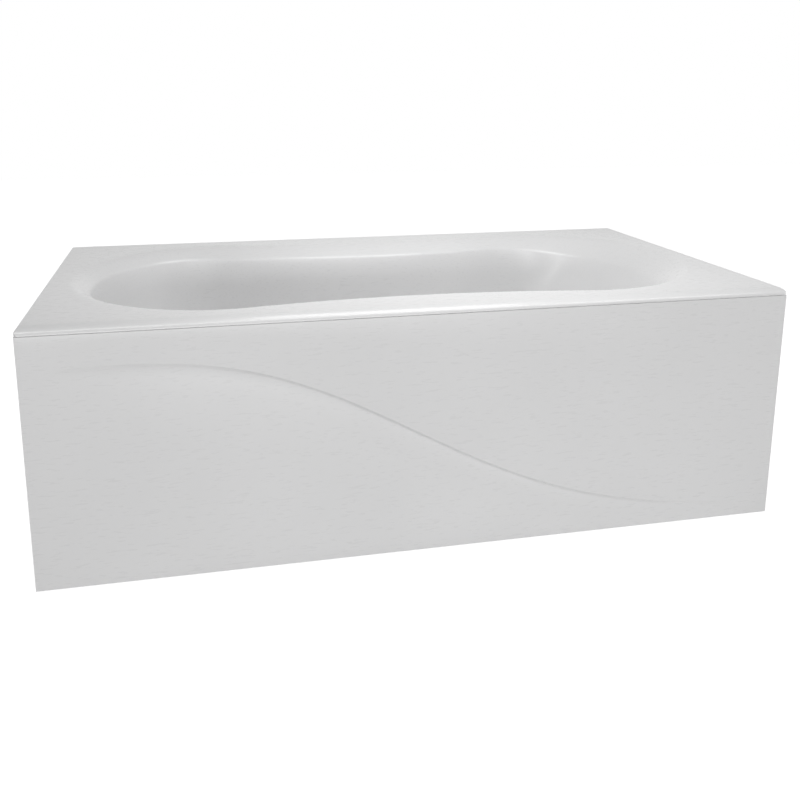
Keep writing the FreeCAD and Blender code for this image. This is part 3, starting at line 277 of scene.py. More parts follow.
def softwood(name, color, turn):
    # planed pine with its rings running along the batten
    material, tree, shader = newMaterial(name, color, 0.62)
    place = objectPlace(tree, (1.2, 24, 24), turn)
    rings = {"Vector": place, "Scale": 0.9, "Distortion": 5.5, "Detail": 3.0, "Detail Scale": 0.8}
    warped = add(tree, "ShaderNodeTexWave", rings, bands_direction="Y").outputs["Fac"]
    fibres = noise(tree, objectPlace(tree, (9, 700, 700), turn), 1.0, 2.0)
    grain = maths(tree, "ADD", maths(tree, "MULTIPLY", warped, 0.7), maths(tree, "MULTIPLY", fibres, 0.3))
    late = tinted(color, 0.72, 0.62, 0.50)
    paint(tree, shader, grain, (0.22, tinted(color, 1.12)), (0.60, color), (0.90, late))
    bump(tree, shader, fibres, 0.35, 0.0004)
    return material


def galvanised(name, color):
    # hot-dipped zinc: large crystals of slightly different grey and gloss
    material, tree, shader = newMaterial(name, color, 0.42, 1.0)
    spangle = add(tree, "ShaderNodeSeparateColor", [cells(tree, objectPlace(tree), 95.0)])
    wear(tree, shader, color, spangle.outputs[0], 0.80, 1.12)
    rough(tree, shader, spangle.outputs[1], 0.32, 0.52)
    bump(tree, shader, noise(tree, objectPlace(tree), 420.0, 2.0), 0.15, 0.0002)
    return material


def platedSteel(name, color, low, high):
    # zinc plate, faintly yellow in places, with fine rolling lines
    material, tree, shader = newMaterial(name, color, low, 1.0)
    stain = noise(tree, objectPlace(tree), 130.0, 3.0, 0.6)
    paint(tree, shader, stain, (0.40, color), (0.70, tinted(color, 1.0, 0.965, 0.87)))
    lines = noise(tree, objectPlace(tree, (1500, 1500, 160)), 1.0, 2.0)
    rough(tree, shader, lines, low, high)
    bump(tree, shader, lines, 0.12, 0.0001)
    return material


def chromePlate(name, color):
    # mirror chrome with a breath of haze and a few wiping marks
    material, tree, shader = newMaterial(name, color, 0.05, 1.0)
    haze = noise(tree, objectPlace(tree, (1, 1, 3)), 24.0, 4.0, 0.6)
    rough(tree, shader, haze, 0.03, 0.09)
    wear(tree, shader, color, haze, 0.985, 1.01)
    wipes = noise(tree, objectPlace(tree, (700, 90, 90), (0, 0, 30)), 1.0, 1.0)
    bump(tree, shader, wipes, 0.02, 0.0001)
    return material


def mouldedPlastic(name, color, low, high, grain):
    # satin moulding: fine spark-eroded grain and slow drifts of gloss
    material, tree, shader = newMaterial(name, color, low, ior=1.50)
    place = objectPlace(tree)
    wear(tree, shader, color, noise(tree, place, 18.0, 3.0), 0.955, 1.03)
    rough(tree, shader, noise(tree, place, 40.0, 2.0), low, high)
    bump(tree, shader, noise(tree, place, 1400.0, 1.0), grain, 0.0001)
    return material


def blackRubber(name, color):
    # moulded rubber, dusty where it is handled
    material, tree, shader = newMaterial(name, color, 0.75, ior=1.52, sheen_weight=0.15)
    place = objectPlace(tree)
    dust = noise(tree, place, 90.0, 4.0, 0.7)
    paint(tree, shader, dust, (0.45, color), (0.80, 0.13))
    rough(tree, shader, dust, 0.66, 0.88)
    bump(tree, shader, noise(tree, place, 900.0, 2.0), 0.25, 0.0002)
    return material


def turnedBrass(name, color):
    # machined brass with round tool lines and a little tarnish
    material, tree, shader = newMaterial(name, color, 0.24, 1.0)
    tarnish = noise(tree, objectPlace(tree), 75.0, 4.0, 0.6)
    paint(tree, shader, tarnish, (0.45, color), (0.85, tinted(color, 0.72, 0.60, 0.45)))
    lines = noise(tree, objectPlace(tree, (1, 1, 60)), 60.0, 1.0)
    rough(tree, shader, lines, 0.18, 0.34)
    bump(tree, shader, lines, 0.15, 0.0001)
    return material


# the keys are the record's material slots
materials = {
    "bath_acrylic": polishedAcrylic("bathAcrylic", (0.86, 0.86, 0.862)),
    "panel_acrylic": polishedAcrylic("panelAcrylic", (0.86, 0.86, 0.862)),
    "glassfibre": choppedStrand("choppedStrand", (0.86, 0.845, 0.77)),
    "board": flakeBoard("flakeBoard", (0.56, 0.43, 0.29)),
    "timber": softwood("softwoodAlong", (0.74, 0.56, 0.35), (0, 0, 0)),
    "leg_steel": galvanised("galvanisedSteel", (0.62, 0.64, 0.66)),
    "screw_steel": platedSteel("platedScrew", (0.72, 0.72, 0.73), 0.20, 0.34),
    "strike_steel": platedSteel("platedStrap", (0.68, 0.68, 0.69), 0.26, 0.42),
    "clip_plastic": mouldedPlastic("clipPlastic", (0.80, 0.80, 0.78), 0.38, 0.50, 0.20),
    "catch_plastic": mouldedPlastic("catchPlastic", (0.055, 0.055, 0.06), 0.42, 0.56, 0.30),
    "waste_chrome": chromePlate("wasteChrome", (0.86, 0.87, 0.88)),
    "seal_rubber": blackRubber("sealRubber", (0.028, 0.028, 0.028)),
    "waste_plastic": mouldedPlastic("wastePlastic", (0.74, 0.74, 0.72), 0.30, 0.42, 0.12),
    "trap_plastic": mouldedPlastic("trapPlastic", (0.82, 0.82, 0.80), 0.24, 0.36, 0.08),
    "hose_plastic": mouldedPlastic("hosePlastic", (0.62, 0.63, 0.64), 0.34, 0.46, 0.10),
    "cable_sheath": mouldedPlastic("cableSheath", (0.035, 0.035, 0.038), 0.36, 0.50, 0.15),
    "cam_plastic": mouldedPlastic("camPlastic", (0.76, 0.75, 0.70), 0.34, 0.46, 0.15),
    "lever_brass": turnedBrass("turnedBrass", (0.74, 0.56, 0.27)),
    "foot_plastic": mouldedPlastic("footPlastic", (0.045, 0.045, 0.048), 0.46, 0.60, 0.35),
}
timberAcross = softwood("softwoodAcross", (0.74, 0.56, 0.35), (0, 0, 90))
for sub in frame["record"]["subparts"]:
    across = sub["node"] in ("rim_batten_left", "rim_batten_right")
    for slot in frame["nodes"][sub["node"]].material_slots:
        slot.material = timberAcross if across else materials[sub["material_slot"]]
print("scene: materials made")

# the bath's hollow, as rings of points from the deck down to the floor

hollow = {
    "length": 1.500, "width": 0.800, "height": 0.500,
    "endDeck": 0.048, "lobeDeck": 0.063, "waistDeck": 0.097, "lobeFromEnd": 0.360,
    "bandDrop": 0.025, "bandLeft": 0.041, "bandRight": 0.070,
    "headDrop": 0.017, "headStart": 0.300, "headEnd": 0.600,      # the headrest's edge lies lower
    "bandLobe": 0.053, "bandWaist": 0.063, "bandCrease": 0.3, "bandStart": 0.10, "bandEnd": 0.93,
    "lobeShift": 0.025, "waistShift": 0.020,
    "depth": 0.362, "wasteDraft": 9.5, "recline": 34.9, "sideDraft": 5.0,
    "shoulder": 0.135, "narrowing": 0.110, "narrowRound": 0.9,
    "floorRise": 0.056, "roundSide": 0.058, "roundWaste": 0.060, "roundBack": 0.100,
    "floorFall": 0.5, "edgeRound": 0.005, "flatReach": 0.014, "creaseReach": 0.004,
    "bandSteps": 12, "wallSteps": 26, "turnStep": 6, "creaseSteps": 6, "edgeSteps": 7,
    "arcPoints": (40, 10, 22, 22, 10, 40),
}
edgeZ = hollow["height"] - hollow["bandDrop"]
floorZ = hollow["height"] - hollow["depth"]
wallHeight = edgeZ - floorZ


def deckShape(h):
    half = h["length"] / 2
    return {
        "leftEnd": h["endDeck"] - half,
        "rightEnd": half - h["endDeck"],
        "leftLobe": h["lobeFromEnd"] - half,
        "rightLobe": half - h["lobeFromEnd"],
        "lobeHalf": h["width"] / 2 - h["lobeDeck"],
        "waistHalf": h["width"] / 2 - h["waistDeck"],
        "waistX": 0.0,
    }


def edgeShape(h):
    shape = deckShape(h)
    shape["leftEnd"] += h["bandLeft"]
    shape["rightEnd"] -= h["bandRight"]
    shape["leftLobe"] -= h["lobeShift"]
    shape["lobeHalf"] -= h["bandLobe"]
    shape["waistHalf"] -= h["bandWaist"]
    shape["waistX"] += h["waistShift"]
    return shape


def grown(shape, amount):
    bigger = dict(shape)
    bigger["leftEnd"] -= amount
    bigger["rightEnd"] += amount
    bigger["lobeHalf"] += amount
    bigger["waistHalf"] += amount
    return bigger


def conic(start, corner, end, weight, count):
    # points on one elliptical arc, without its last point
    points = []
    for i in range(count):
        t = i / count
        a = (1 - t) ** 2
        b = 2 * t * (1 - t) * weight
        c = t ** 2
        points.append((start * a + corner * b + end * c) / (a + b + c))
    return points


def lobeToWaist(shape, lobeX, side):
    span = abs(shape["waistX"] - lobeX)
    way = math.copysign(1.0, shape["waistX"] - lobeX)
    lobe = shape["lobeHalf"]
    waist = shape["waistHalf"]
    turn = 2 * math.atan((lobe - waist) / span)
    waistArc = span / math.sin(turn) - lobe
    reach = math.tan(turn / 2)
    meet = Vector((lobeX + way * lobe * math.sin(turn), side * (lobe - lobe * (1 - math.cos(turn)))))
    first = (Vector((lobeX, side * lobe)), Vector((lobeX + way * lobe * reach, side * lobe)), meet)
    second = (meet, Vector((shape["waistX"] - way * waistArc * reach, side * waist)),
              Vector((shape["waistX"], side * waist)))
    return first, second, math.cos(turn / 2)


def outline(shape):
    # anticlockwise from above, starting at the waste end's tip
    quarter = math.sqrt(0.5)
    counts = hollow["arcPoints"]
    sides = []
    for side in (-1, 1):
        half = side * shape["lobeHalf"]
        left = Vector((shape["leftEnd"], 0))
        right = Vector((shape["rightEnd"], 0))
        lobeA, waistA, weightA = lobeToWaist(shape, shape["leftLobe"], side)
        lobeB, waistB, weightB = lobeToWaist(shape, shape["rightLobe"], side)
        arcs = [
            (left, Vector((left.x, half)), lobeA[0], quarter),
            (*lobeA, weightA),
            (*waistA, weightA),
            (*waistB[::-1], weightB),
            (*lobeB[::-1], weightB),
            (lobeB[0], Vector((right.x, half)), right, quarter),
        ]
        if side > 0:
            arcs = [(end, corner, start, weight) for start, corner, end, weight in arcs[::-1]]
            counts = counts[::-1]
        for arc, count in zip(arcs, counts):
            sides += conic(*arc, count)
    return sides


def headrestDrop(x):
    start, end, drop = pick(hollow, "headStart", "headEnd", "headDrop")
    return drop * smoothStep((x - start) / (end - start))


def bandRing(share, skin=0.0):
    h = hollow
    outer = deckShape(h)
    inner = edgeShape(h)
    shape = {key: outer[key] + (inner[key] - outer[key]) * share for key in outer}
    fall = h["bandCrease"] * share + (1 - h["bandCrease"]) * share ** 2
    steep = h["bandDrop"] * (h["bandCrease"] + 2 * (1 - h["bandCrease"]) * share) / h["bandLobe"]
    slope = math.atan(steep)
    z = h["height"] - h["bandDrop"] * fall - skin * math.cos(slope)
    return [Vector((p.x, p.y, z - headrestDrop(p.x) * share))
            for p in outline(grown(shape, skin * math.sin(slope)))]


def wallRing(depth, turn=0.0, skin=0.0):
    # turn is 0 on the wall and runs to 90 degrees where its round meets the floor
    h = hollow
    inset = 1 - math.cos(turn)
    pastShoulder = max(0.0, depth - h["shoulder"]) / (wallHeight - h["shoulder"])
    shape = edgeShape(h)
    shape["leftEnd"] += depth * math.tan(math.radians(h["wasteDraft"])) + h["roundWaste"] * inset
    shape["rightEnd"] -= depth * math.tan(math.radians(h["recline"])) + h["roundBack"] * inset
    for key in ("lobeHalf", "waistHalf"):
        shape[key] -= depth * math.tan(math.radians(h["sideDraft"])) + h["roundSide"] * inset
    shape["leftLobe"] += h["roundWaste"] / 2 * inset
    shape["rightLobe"] -= h["narrowing"] * pastShoulder + h["narrowRound"] * h["roundBack"] * inset
    tilt = math.radians(h["floorFall"] * depth / wallHeight)
    z = edgeZ - depth - skin * math.sin(turn)
    flat = outline(grown(shape, skin * math.cos(turn)))
    left = max(0.0, 1 - depth / (wallHeight - h["floorRise"]))
    return [Vector((p.x * math.cos(tilt), p.y, z + p.x * math.sin(tilt) - headrestDrop(p.x) * left))
            for p in flat]


def softened(before, corner, after, steps):
    # rings that round a crease: each point runs along a curve from one side to the other
    rings = []
    for i in range(steps + 1):
        t = i / steps
        rings.append([a * (1 - t) ** 2 + b * 2 * t * (1 - t) + c * t ** 2
                      for a, b, c in zip(before, corner, after)])
    return rings


def hollowRings(skin=0.0):
    h = hollow
    top = h["height"] - skin
    flat, level = [[Vector((p.x, p.y, top)) for p in outline(grown(deckShape(h), h[reach]))]
                   for reach in ("flatReach", "creaseReach")]
    start = h["bandStart"]
    run = h["bandEnd"] - start
    shares = [start + run * i / h["bandSteps"] for i in range(1, h["bandSteps"] + 1)]
    rings = [flat] + softened(level, bandRing(0, skin), bandRing(start, skin), h["creaseSteps"])
    rings += [bandRing(share, skin) for share in shares[:-1]]
    under = h["edgeRound"]
    rings += softened(bandRing(shares[-1], skin), wallRing(0, 0, skin), wallRing(under, 0, skin),
                      h["edgeSteps"])
    straight = wallHeight - h["floorRise"] - under
    rings += [wallRing(under + straight * i / h["wallSteps"], 0, skin) for i in range(1, h["wallSteps"])]
    turns = [math.radians(a) for a in range(0, 91, h["turnStep"])]
    rings += [wallRing(wallHeight - h["floorRise"] * (1 - math.sin(a)), a, skin) for a in turns]
    return rings


# acrylic shell

shell = {
    "sheet": 0.0047, "noseRun": 0.028, "noseDrop": 0.013, "lipDepth": 0.014,
    "edgeRound": 0.010, "skirtDepth": 0.030, "skirtSetback": 0.020, "skirtStep": 0.001,
    "cornerRound": 0.006, "mostDrop": 0.0135, "flatCorner": 0.0006, "flatInset": 0.006,
    "rimSteps": 10, "sideSteps": (60, 32), "cornerSteps": 8, "mitreSoftness": 0.0012,
    "wasteX": -0.480, "recessRadius": 0.044, "recessDrop": 0.003, "wasteHole": 0.0262,
    "overflowZ": 0.410, "padRadius": 0.038, "padBlend": 0.066, "overflowHole": 0.0272,
    "padDepth": 0.05, "circlePoints": 96,
    # off the pad and beyond the hole: what is cleared, and where the edge to fill lies
    "cleared": (0.0006, 0.0028), "seam": (0.002, 0.03),
    # the drain's recess: wider than its radius, and down from the floor
    "recess": [(0.016, 0), (0.003, 0), (0.0018, 0.0003), (0.0008, 0.001), (0, 0.0020),
               (-0.0010, 0.0027), (-0.0024, 0.003)],
}


def floorLevel(x):
    return floorZ + x * math.tan(math.radians(hollow["floorFall"]))


def overflowAxis():
    draft = math.radians(hollow["wasteDraft"])
    x = edgeShape(hollow)["leftEnd"] + (edgeZ - shell["overflowZ"]) * math.tan(draft)
    return Vector((x, 0, shell["overflowZ"])), Vector((math.cos(draft), 0, math.sin(draft)))


def addLoop(mesh, points):
    return [mesh.verts.new(p) for p in points]


def bridge(mesh, first, second):
    for i in range(len(first)):
        j = (i + 1) % len(first)
        mesh.faces.new((first[i], first[j], second[j], second[i]))


def stack(mesh, rings):
    # one loop of points for each ring, with faces from each loop to the next
    loops = [addLoop(mesh, ring) for ring in rings]
    for first, second in zip(loops, loops[1:]):
        bridge(mesh, first, second)
    return loops


def loopEdges(mesh, loop):
    edges = []
    for i in range(len(loop)):
        pair = (loop[i], loop[(i + 1) % len(loop)])
        edges.append(mesh.edges.get(pair) or mesh.edges.new(pair))
    return edges


def fillBetween(mesh, *loops):
    edges = [edge for loop in loops for edge in loopEdges(mesh, loop)]
    bmesh.ops.triangle_fill(mesh, use_beauty=True, use_dissolve=False, edges=edges)


def around(count):
    turns = [2 * math.pi * i / count for i in range(count)]
    return [(math.cos(a), math.sin(a)) for a in turns]


def circle(x, y, z, radius, count):
    return [Vector((x + radius * c, y + radius * s, z)) for c, s in around(count)]


def perimeter(halfX, halfY, middleY, radius):
    # a rounded rectangle, the same number of points for every size
    alongX, alongY = shell["sideSteps"]
    corners = [(1, -1, -90), (1, 1, 0), (-1, 1, 90), (-1, -1, 180)]
    steps = [alongY, alongX, alongY, alongX]
    points = []
    for (sx, sy, start), count, (nx, ny, _) in zip(corners, steps, corners[1:] + corners[:1]):
        centre = Vector((sx * (halfX - radius), middleY + sy * (halfY - radius)))
        for i in range(shell["cornerSteps"] + 1):
            a = math.radians(start + 90 * i / shell["cornerSteps"])
            points.append(centre + Vector((math.cos(a), math.sin(a))) * radius)
        after = Vector((nx * (halfX - radius), middleY + ny * (halfY - radius)))
        a = math.radians(start + 90)
        offset = Vector((math.cos(a), math.sin(a))) * radius
        for i in range(1, count):
            points.append(centre + (after - centre) * i / count + offset)
    return points


def softMin(a, b, k):
    h = clamp(0.5 + 0.5 * (b - a) / k)
    return b * (1 - h) + a * h - k * h * (1 - h)


def rimHeight(x, y):
    h = hollow
    half = h["length"] / 2

    def roundOver(past, run, drop):
        t = clamp(past / run)
        return drop * (1 - math.sqrt(1 - t * t))

    r = shell["edgeRound"]
    nose = roundOver(-h["width"] / 2 + shell["noseRun"] - y, shell["noseRun"], shell["noseDrop"])
    end = roundOver(abs(x) - half + r, r, r)
    back = roundOver(y - h["width"] / 2 + r, r, r)
    side = -softMin(-end, -back, shell["mitreSoftness"]) if end * back else max(end, back)
    drop = -softMin(-side, -nose, shell["mitreSoftness"]) if side * nose else max(side, nose)
    return h["height"] - min(drop, shell["mostDrop"])


def rimLoops():
    h = hollow
    s = shell
    halfX = h["length"] / 2
    halfY = h["width"] / 2
    r = s["edgeRound"]
    flatHalf = halfY - (s["noseRun"] + r) / 2
    middle = (s["noseRun"] - r) / 2
    inset = s["flatInset"]
    inner = perimeter(halfX - r, flatHalf, middle, s["flatCorner"])
    outer = perimeter(halfX, halfY, 0.0, s["cornerRound"])
    flat = perimeter(halfX - r - inset, flatHalf - inset, middle, s["flatCorner"])
    loops = [[Vector((p.x, p.y, h["height"])) for p in flat]]
    for i in range(s["rimSteps"] + 1):
        share = math.sin(math.radians(90 * i / s["rimSteps"]))
        loop = []
        for a, b in zip(inner, outer):
            p = a + (b - a) * share
            loop.append(Vector((p.x, p.y, rimHeight(p.x, p.y))))
        loops.append(loop)
    low = []
    for p in outer:
        # the skirt is deeper than the front lip, from a step behind it
        share = clamp((p.y + halfY - s["skirtSetback"]) / s["skirtStep"] + 0.5)
        deep = s["lipDepth"] + (s["skirtDepth"] - s["lipDepth"]) * share
        low.append(Vector((p.x, p.y, h["height"] - deep)))
    return loops + [low]


def onPad(p, origin, axis, wider=0.0):
    # flattens the wall round the overflow, fading out into the curved wall
    away = p - origin
    out = away.dot(axis)
    radius = (away - axis * out).length - wider
    if abs(out) > shell["padDepth"] or radius > shell["padBlend"]:
        return p
    past = (radius - shell["padRadius"]) / (shell["padBlend"] - shell["padRadius"])
    return p - axis * out * (1 - smoothStep(past))


def openOverflow(mesh, origin, axis, radius):
    # cuts the round hole in the flat pad and gives back its edge
    def within(v, off, beyond):
        away = v.co - origin
        out = away.dot(axis)
        return abs(out) < off and (away - axis * out).length < radius + beyond

    near = [v for v in mesh.verts if within(v, *shell["cleared"])]
    bmesh.ops.delete(mesh, geom=near, context="VERTS")
    edges = [e for e in mesh.edges if e.is_boundary
             and all(within(v, *shell["seam"]) for v in e.verts)]
    across = Vector((0, 1, 0))
    up = axis.cross(across)
    loop = addLoop(mesh, [origin + (across * c + up * s) * radius
                          for c, s in around(shell["circlePoints"])])
    bmesh.ops.triangle_fill(mesh, use_beauty=True, edges=edges + loopEdges(mesh, loop))
    return loop


def finishMesh(name, mesh, material):
    bmesh.ops.recalc_face_normals(mesh, faces=mesh.faces)
    data = bpy.data.meshes.new(name)
    mesh.to_mesh(data)
    mesh.free()
    piece = bpy.data.objects.new(name, data)
    bpy.context.scene.collection.objects.link(piece)
    data.materials.append(materials[material])
    for face in data.polygons:
        face.use_smooth = True
    return piece


def applyModifiers(piece):
    depsgraph = bpy.context.evaluated_depsgraph_get()
    finished = bpy.data.meshes.new_from_object(piece.evaluated_get(depsgraph))
    piece.modifiers.clear()
    old = piece.data
    piece.data = finished
    finished.name = piece.name
    bpy.data.meshes.remove(old)
    return piece


def reworked(piece, change):
    # opens a piece's mesh for a change and puts it back
    mesh = bmesh.new()
    mesh.from_mesh(piece.data)
    change(mesh)
    mesh.to_mesh(piece.data)
    mesh.free()
    return piece


def block(mesh, low, high, place=Matrix()):
    corners = [[mesh.verts.new(place @ Vector((x, y, z))) for x, y in
                ((low[0], low[1]), (high[0], low[1]), (high[0], high[1]), (low[0], high[1]))]
               for z in (low[2], high[2])]
    mesh.faces.new(corners[0][::-1])
    mesh.faces.new(corners[1])
    for i in range(4):
        j = (i + 1) % 4
        mesh.faces.new((corners[0][i], corners[0][j], corners[1][j], corners[1][i]))


def thicken(piece, sheet):
    solid = piece.modifiers.new("sheet", "SOLIDIFY")
    solid.thickness = sheet
    solid.offset = -1
    solid.use_even_offset = True
    return applyModifiers(piece)


def makeShell():
    mesh = bmesh.new()
    origin, axis = overflowAxis()
    loops = stack(mesh, [[onPad(p, origin, axis) for p in ring] for ring in hollowRings()])
    rim = stack(mesh, rimLoops())
    fillBetween(mesh, rim[0], loops[0])
    x, r, deep = pick(shell, "wasteX", "recessRadius", "recessDrop")
    low = floorLevel(x) - deep
    count = shell["circlePoints"]
    rounds = []
    for wider, down in shell["recess"]:
        level = [Vector((p.x, p.y, floorLevel(p.x))) for p in circle(x, 0, 0, r + wider, count)]
        rounds.append([Vector((p.x, p.y, p.z + (low - p.z) * down / deep)) for p in level])
    recess = stack(mesh, rounds + [circle(x, 0, low, shell["wasteHole"], count)])
    fillBetween(mesh, loops[-1], recess[0])
    openOverflow(mesh, origin, axis, shell["overflowHole"])
    piece = finishMesh("tubShell", mesh, "bath_acrylic")
    return thicken(piece, shell["sheet"])


tubShell = makeShell()
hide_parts("tub_shell")
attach(tubShell, "bath")
print("scene: acrylic shell", len(tubShell.data.polygons), "faces")

# front panel

panel = {
    "left": -0.750, "right": 0.750, "front": -0.400, "bottom": 0.002, "top": 0.4852,
    "sheet": 0.0045, "return": 0.020, "edgeRound": 0.0008,
    "ribHeight": 0.0028, "ribWidth": 0.0025, "ribBack": 0.006, "ribInset": 0.007, "ribSunk": 0.001,
    "waveDepth": 0.0100, "waveStart": 0.060, "waveEnd": 1.438,
    "waveMiddle": 0.196, "waveSwing": 0.302, "waveReach": 0.475,
    "waveStretch": 0.216, "waveTilt": 0.104, "waveCentre": 0.060, "waveFade": 14.0, "waveClear": 0.015,
    # the recess under the wave: height from its line, and share of its depth
    "ledge": [(0.0008, 0.0), (0.0000, 0.09), (-0.0058, 0.82), (-0.0076, 0.93), (-0.0110, 0.985),
              (-0.0160, 1.0)],
    "fade": [0.06, 0.14, 0.24, 0.36, 0.5, 0.65, 0.8, 1.0, 1.2],
    "fadeLeast": 0.6, "fadePower": 1.6, "endPower": 0.7,
    "shares": (0.25, 0.5, 0.75, 1.0), "above": (0.003, 0.0012), "leastBelow": 0.002,
    "columns": 200, "edgeSteps": 6, "returnStart": 0.008,
}


def waveHeight(x):
    p = panel
    u = (x - p["waveCentre"]) / (p["waveReach"] + p["waveStretch"] * (x - p["waveCentre"]))
    return p["waveMiddle"] - p["waveSwing"] * math.tanh(u) + p["waveTilt"] * x


def waveDepthAt(x):
    p = panel
    share = (x - p["left"] - p["waveStart"]) / (p["waveEnd"] - p["waveStart"])
    return p["waveDepth"] * math.sin(math.pi * share) ** p["endPower"] if 0 < share < 1 else 0.0


def makePanel():
    p = panel
    mesh = bmesh.new()
    left, right, r, count = pick(p, "left", "right", "edgeRound", "columns")
    xs = [left + r + (right - left - 2 * r) * i / count for i in range(count + 1)]
    low = p["bottom"] + r
    high = p["top"] - r
    ledge = p["ledge"]
    fade = p["fade"]
    columns = []
    for x in xs:
        z = waveHeight(x)
        depth = waveDepthAt(x)
        least = p["fadeLeast"]
        run = p["waveFade"] * (p["waveDepth"] * least + depth * (1 - least))
        foot = z + ledge[-1][0]
        rows = [(z + (high - z) * t, 0.0) for t in (*p["shares"][::-1], 0.08)]
        rows += [(z + rise, 0.0) for rise in p["above"]] + [(z + rise, share) for rise, share in ledge]
        rows += [(foot - run * t, max(0.0, 1 - t) ** p["fadePower"]) for t in fade]
        end = foot - run * fade[-1]
        bottom = min(low, end - p["leastBelow"])
        rows += [(end + (bottom - end) * t, 0.0) for t in p["shares"]]
        column = []
        for height, share in rows:
            flatten = clamp((height - low) / p["waveClear"])
            column.append(mesh.verts.new((x, p["front"] + depth * share * flatten, max(low, height))))
        columns.append(column)
    for a, b in zip(columns, columns[1:]):
        for corners in zip(a, a[1:], b[1:], b):
            mesh.faces.new(corners)
    bmesh.ops.remove_doubles(mesh, verts=mesh.verts, dist=1e-6)
    edge = [e for e in mesh.edges if e.is_boundary]
    middle = Vector(((left + right) / 2, 0, (p["bottom"] + p["top"]) / 2))
    half = Vector(((right - left) / 2, 0, (p["top"] - p["bottom"]) / 2))
    steps = [math.radians(90 * i / p["edgeSteps"]) for i in range(1, p["edgeSteps"] + 1)]
    places = [(r * (1 - math.sin(a)), r * (1 - math.cos(a))) for a in steps]
    places += [(0.0, p["returnStart"]), (0.0, p["return"])]
    for inset, back in places:
        found = bmesh.ops.extrude_edge_only(mesh, edges=edge)["geom"]
        verts = [g for g in found if isinstance(g, bmesh.types.BMVert)]
        edge = [g for g in found if isinstance(g, bmesh.types.BMEdge)]
        for v in verts:
            away = v.co - middle
            v.co.y = p["front"] + back
            if abs(away.x) > half.x - r - 1e-6:
                v.co.x = middle.x + math.copysign(half.x - inset, away.x)
            if abs(away.z) > half.z - r - 1e-6:
                v.co.z = middle.z + math.copysign(half.z - inset, away.z)
    piece = thicken(finishMesh("frontPanel", mesh, "panel_acrylic"), p["sheet"])
    # the rib along the top edge that stands behind the bath's lip
    back = p["front"] + p["ribBack"]
    ribLow = (left + p["ribInset"], back, p["top"] - p["ribSunk"])
    ribHigh = (right - p["ribInset"], back + p["ribWidth"], p["top"] + p["ribHeight"])
    return reworked(piece, lambda mesh: block(mesh, ribLow, ribHigh))


frontPanel = makePanel()
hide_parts("front_panel")
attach(frontPanel, "panel")
print("scene: front panel", len(frontPanel.data.polygons), "faces")

# glass fibre laminate under the shell

laminate = {
    "inside": 0.0053, "outside": 0.0093,      # from the bath's white face
    "halfLength": 0.741, "front": -0.377, "back": 0.391, "corner": 0.006,
    "wasteHole": 0.050, "overflowHole": 0.043, "padWider": 0.009,
}


def laminateFace(mesh, skin):
    # one face, a skin's distance under the acrylic, with the edges of its three openings
    l = laminate
    origin, axis = overflowAxis()
    origin = origin - axis * skin
    loops = stack(mesh, [[onPad(p, origin, axis, l["padWider"]) for p in ring]
                         for ring in hollowRings(skin)])
    back, front, top = l["back"], l["front"], hollow["height"] - skin
    rectangle = perimeter(l["halfLength"], (back - front) / 2, (back + front) / 2, l["corner"])
    edge = addLoop(mesh, [Vector((p.x, p.y, top)) for p in rectangle])
    fillBetween(mesh, edge, loops[0])
    hole = circle(shell["wasteX"], 0, 0, l["wasteHole"], shell["circlePoints"])
    drain = addLoop(mesh, [Vector((p.x, p.y, floorLevel(p.x) - skin)) for p in hole])
    fillBetween(mesh, loops[-1], drain)
    return edge, drain, openOverflow(mesh, origin, axis, l["overflowHole"])


def makeLaminate():
    mesh = bmesh.new()
    faces = [laminateFace(mesh, laminate[side]) for side in ("inside", "outside")]
    for first, second in zip(*faces):
        bridge(mesh, first, second)
    return finishMesh("glassfibreLaminate", mesh, "glassfibre")


glassfibreLaminate = makeLaminate()
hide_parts("glassfibre_backing")
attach(glassfibreLaminate, "bath")
print("scene: glass fibre laminate", len(glassfibreLaminate.data.polygons), "faces")

# fittings: every size below is in millimetres, and closeFitting scales the mesh to metres

fittings = {
    "lean": 9.5, "overflow": (-650.1227, 0, 410.0), "round": 64, "crease": 32.0,
}


def facing(place, direction):
    # a frame at place whose Z axis runs along direction
    turn = Vector(direction).to_track_quat("Z", "Y").to_matrix().to_4x4()
    return Matrix.Translation(place) @ turn


def wallFrame(out=0.0):
    # on the overflow's pad: X is the bath's +Y, Y is up the wall, Z is out of the wall
    a = math.radians(fittings["lean"])
    axes = Matrix(((0, -math.sin(a), math.cos(a)), (1, 0, 0), (0, math.cos(a), math.sin(a))))
    place = Vector(fittings["overflow"]) + axes.col[2] * out
    return Matrix.Translation(place) @ axes.to_4x4()


def lathe(mesh, profile, place=Matrix(), closed=False, limit=None, count=0):
    # turns (radius, height) points round Z; limit(angle) cuts flats or grips into the round
    count = count or fittings["round"]
    rows = []
    for r, z in profile:
        angles = [0.0] if r < 1e-6 else [2 * math.pi * i / count for i in range(count)]
        reach = [min(r, limit(a)) if limit else r for a in angles]
        rows.append([mesh.verts.new(place @ Vector((d * math.cos(a), d * math.sin(a), z)))
                     for a, d in zip(angles, reach)])
    for a, b in list(zip(rows, rows[1:])) + ([(rows[-1], rows[0])] if closed else []):
        for i in range(count):
            j = (i + 1) % count
            if len(a) == 1:
                mesh.faces.new((a[0], b[j], b[i]))
            elif len(b) == 1:
                mesh.faces.new((a[i], a[j], b[0]))
            else:
                mesh.faces.new((a[i], a[j], b[j], b[i]))


def tube(mesh, start, direction, outer, inner, reach, count=32):
    profile = [(inner, 0), (outer, 0), (outer, reach), (inner, reach)]
    lathe(mesh, profile, facing(start, direction), True, None, count)


def sixSided(flats):
    # reach of a hexagon at an angle, its corners on the X axis
    def reach(angle):
        return flats / 2 / math.cos((angle % math.radians(60)) - math.radians(30))
    return reach


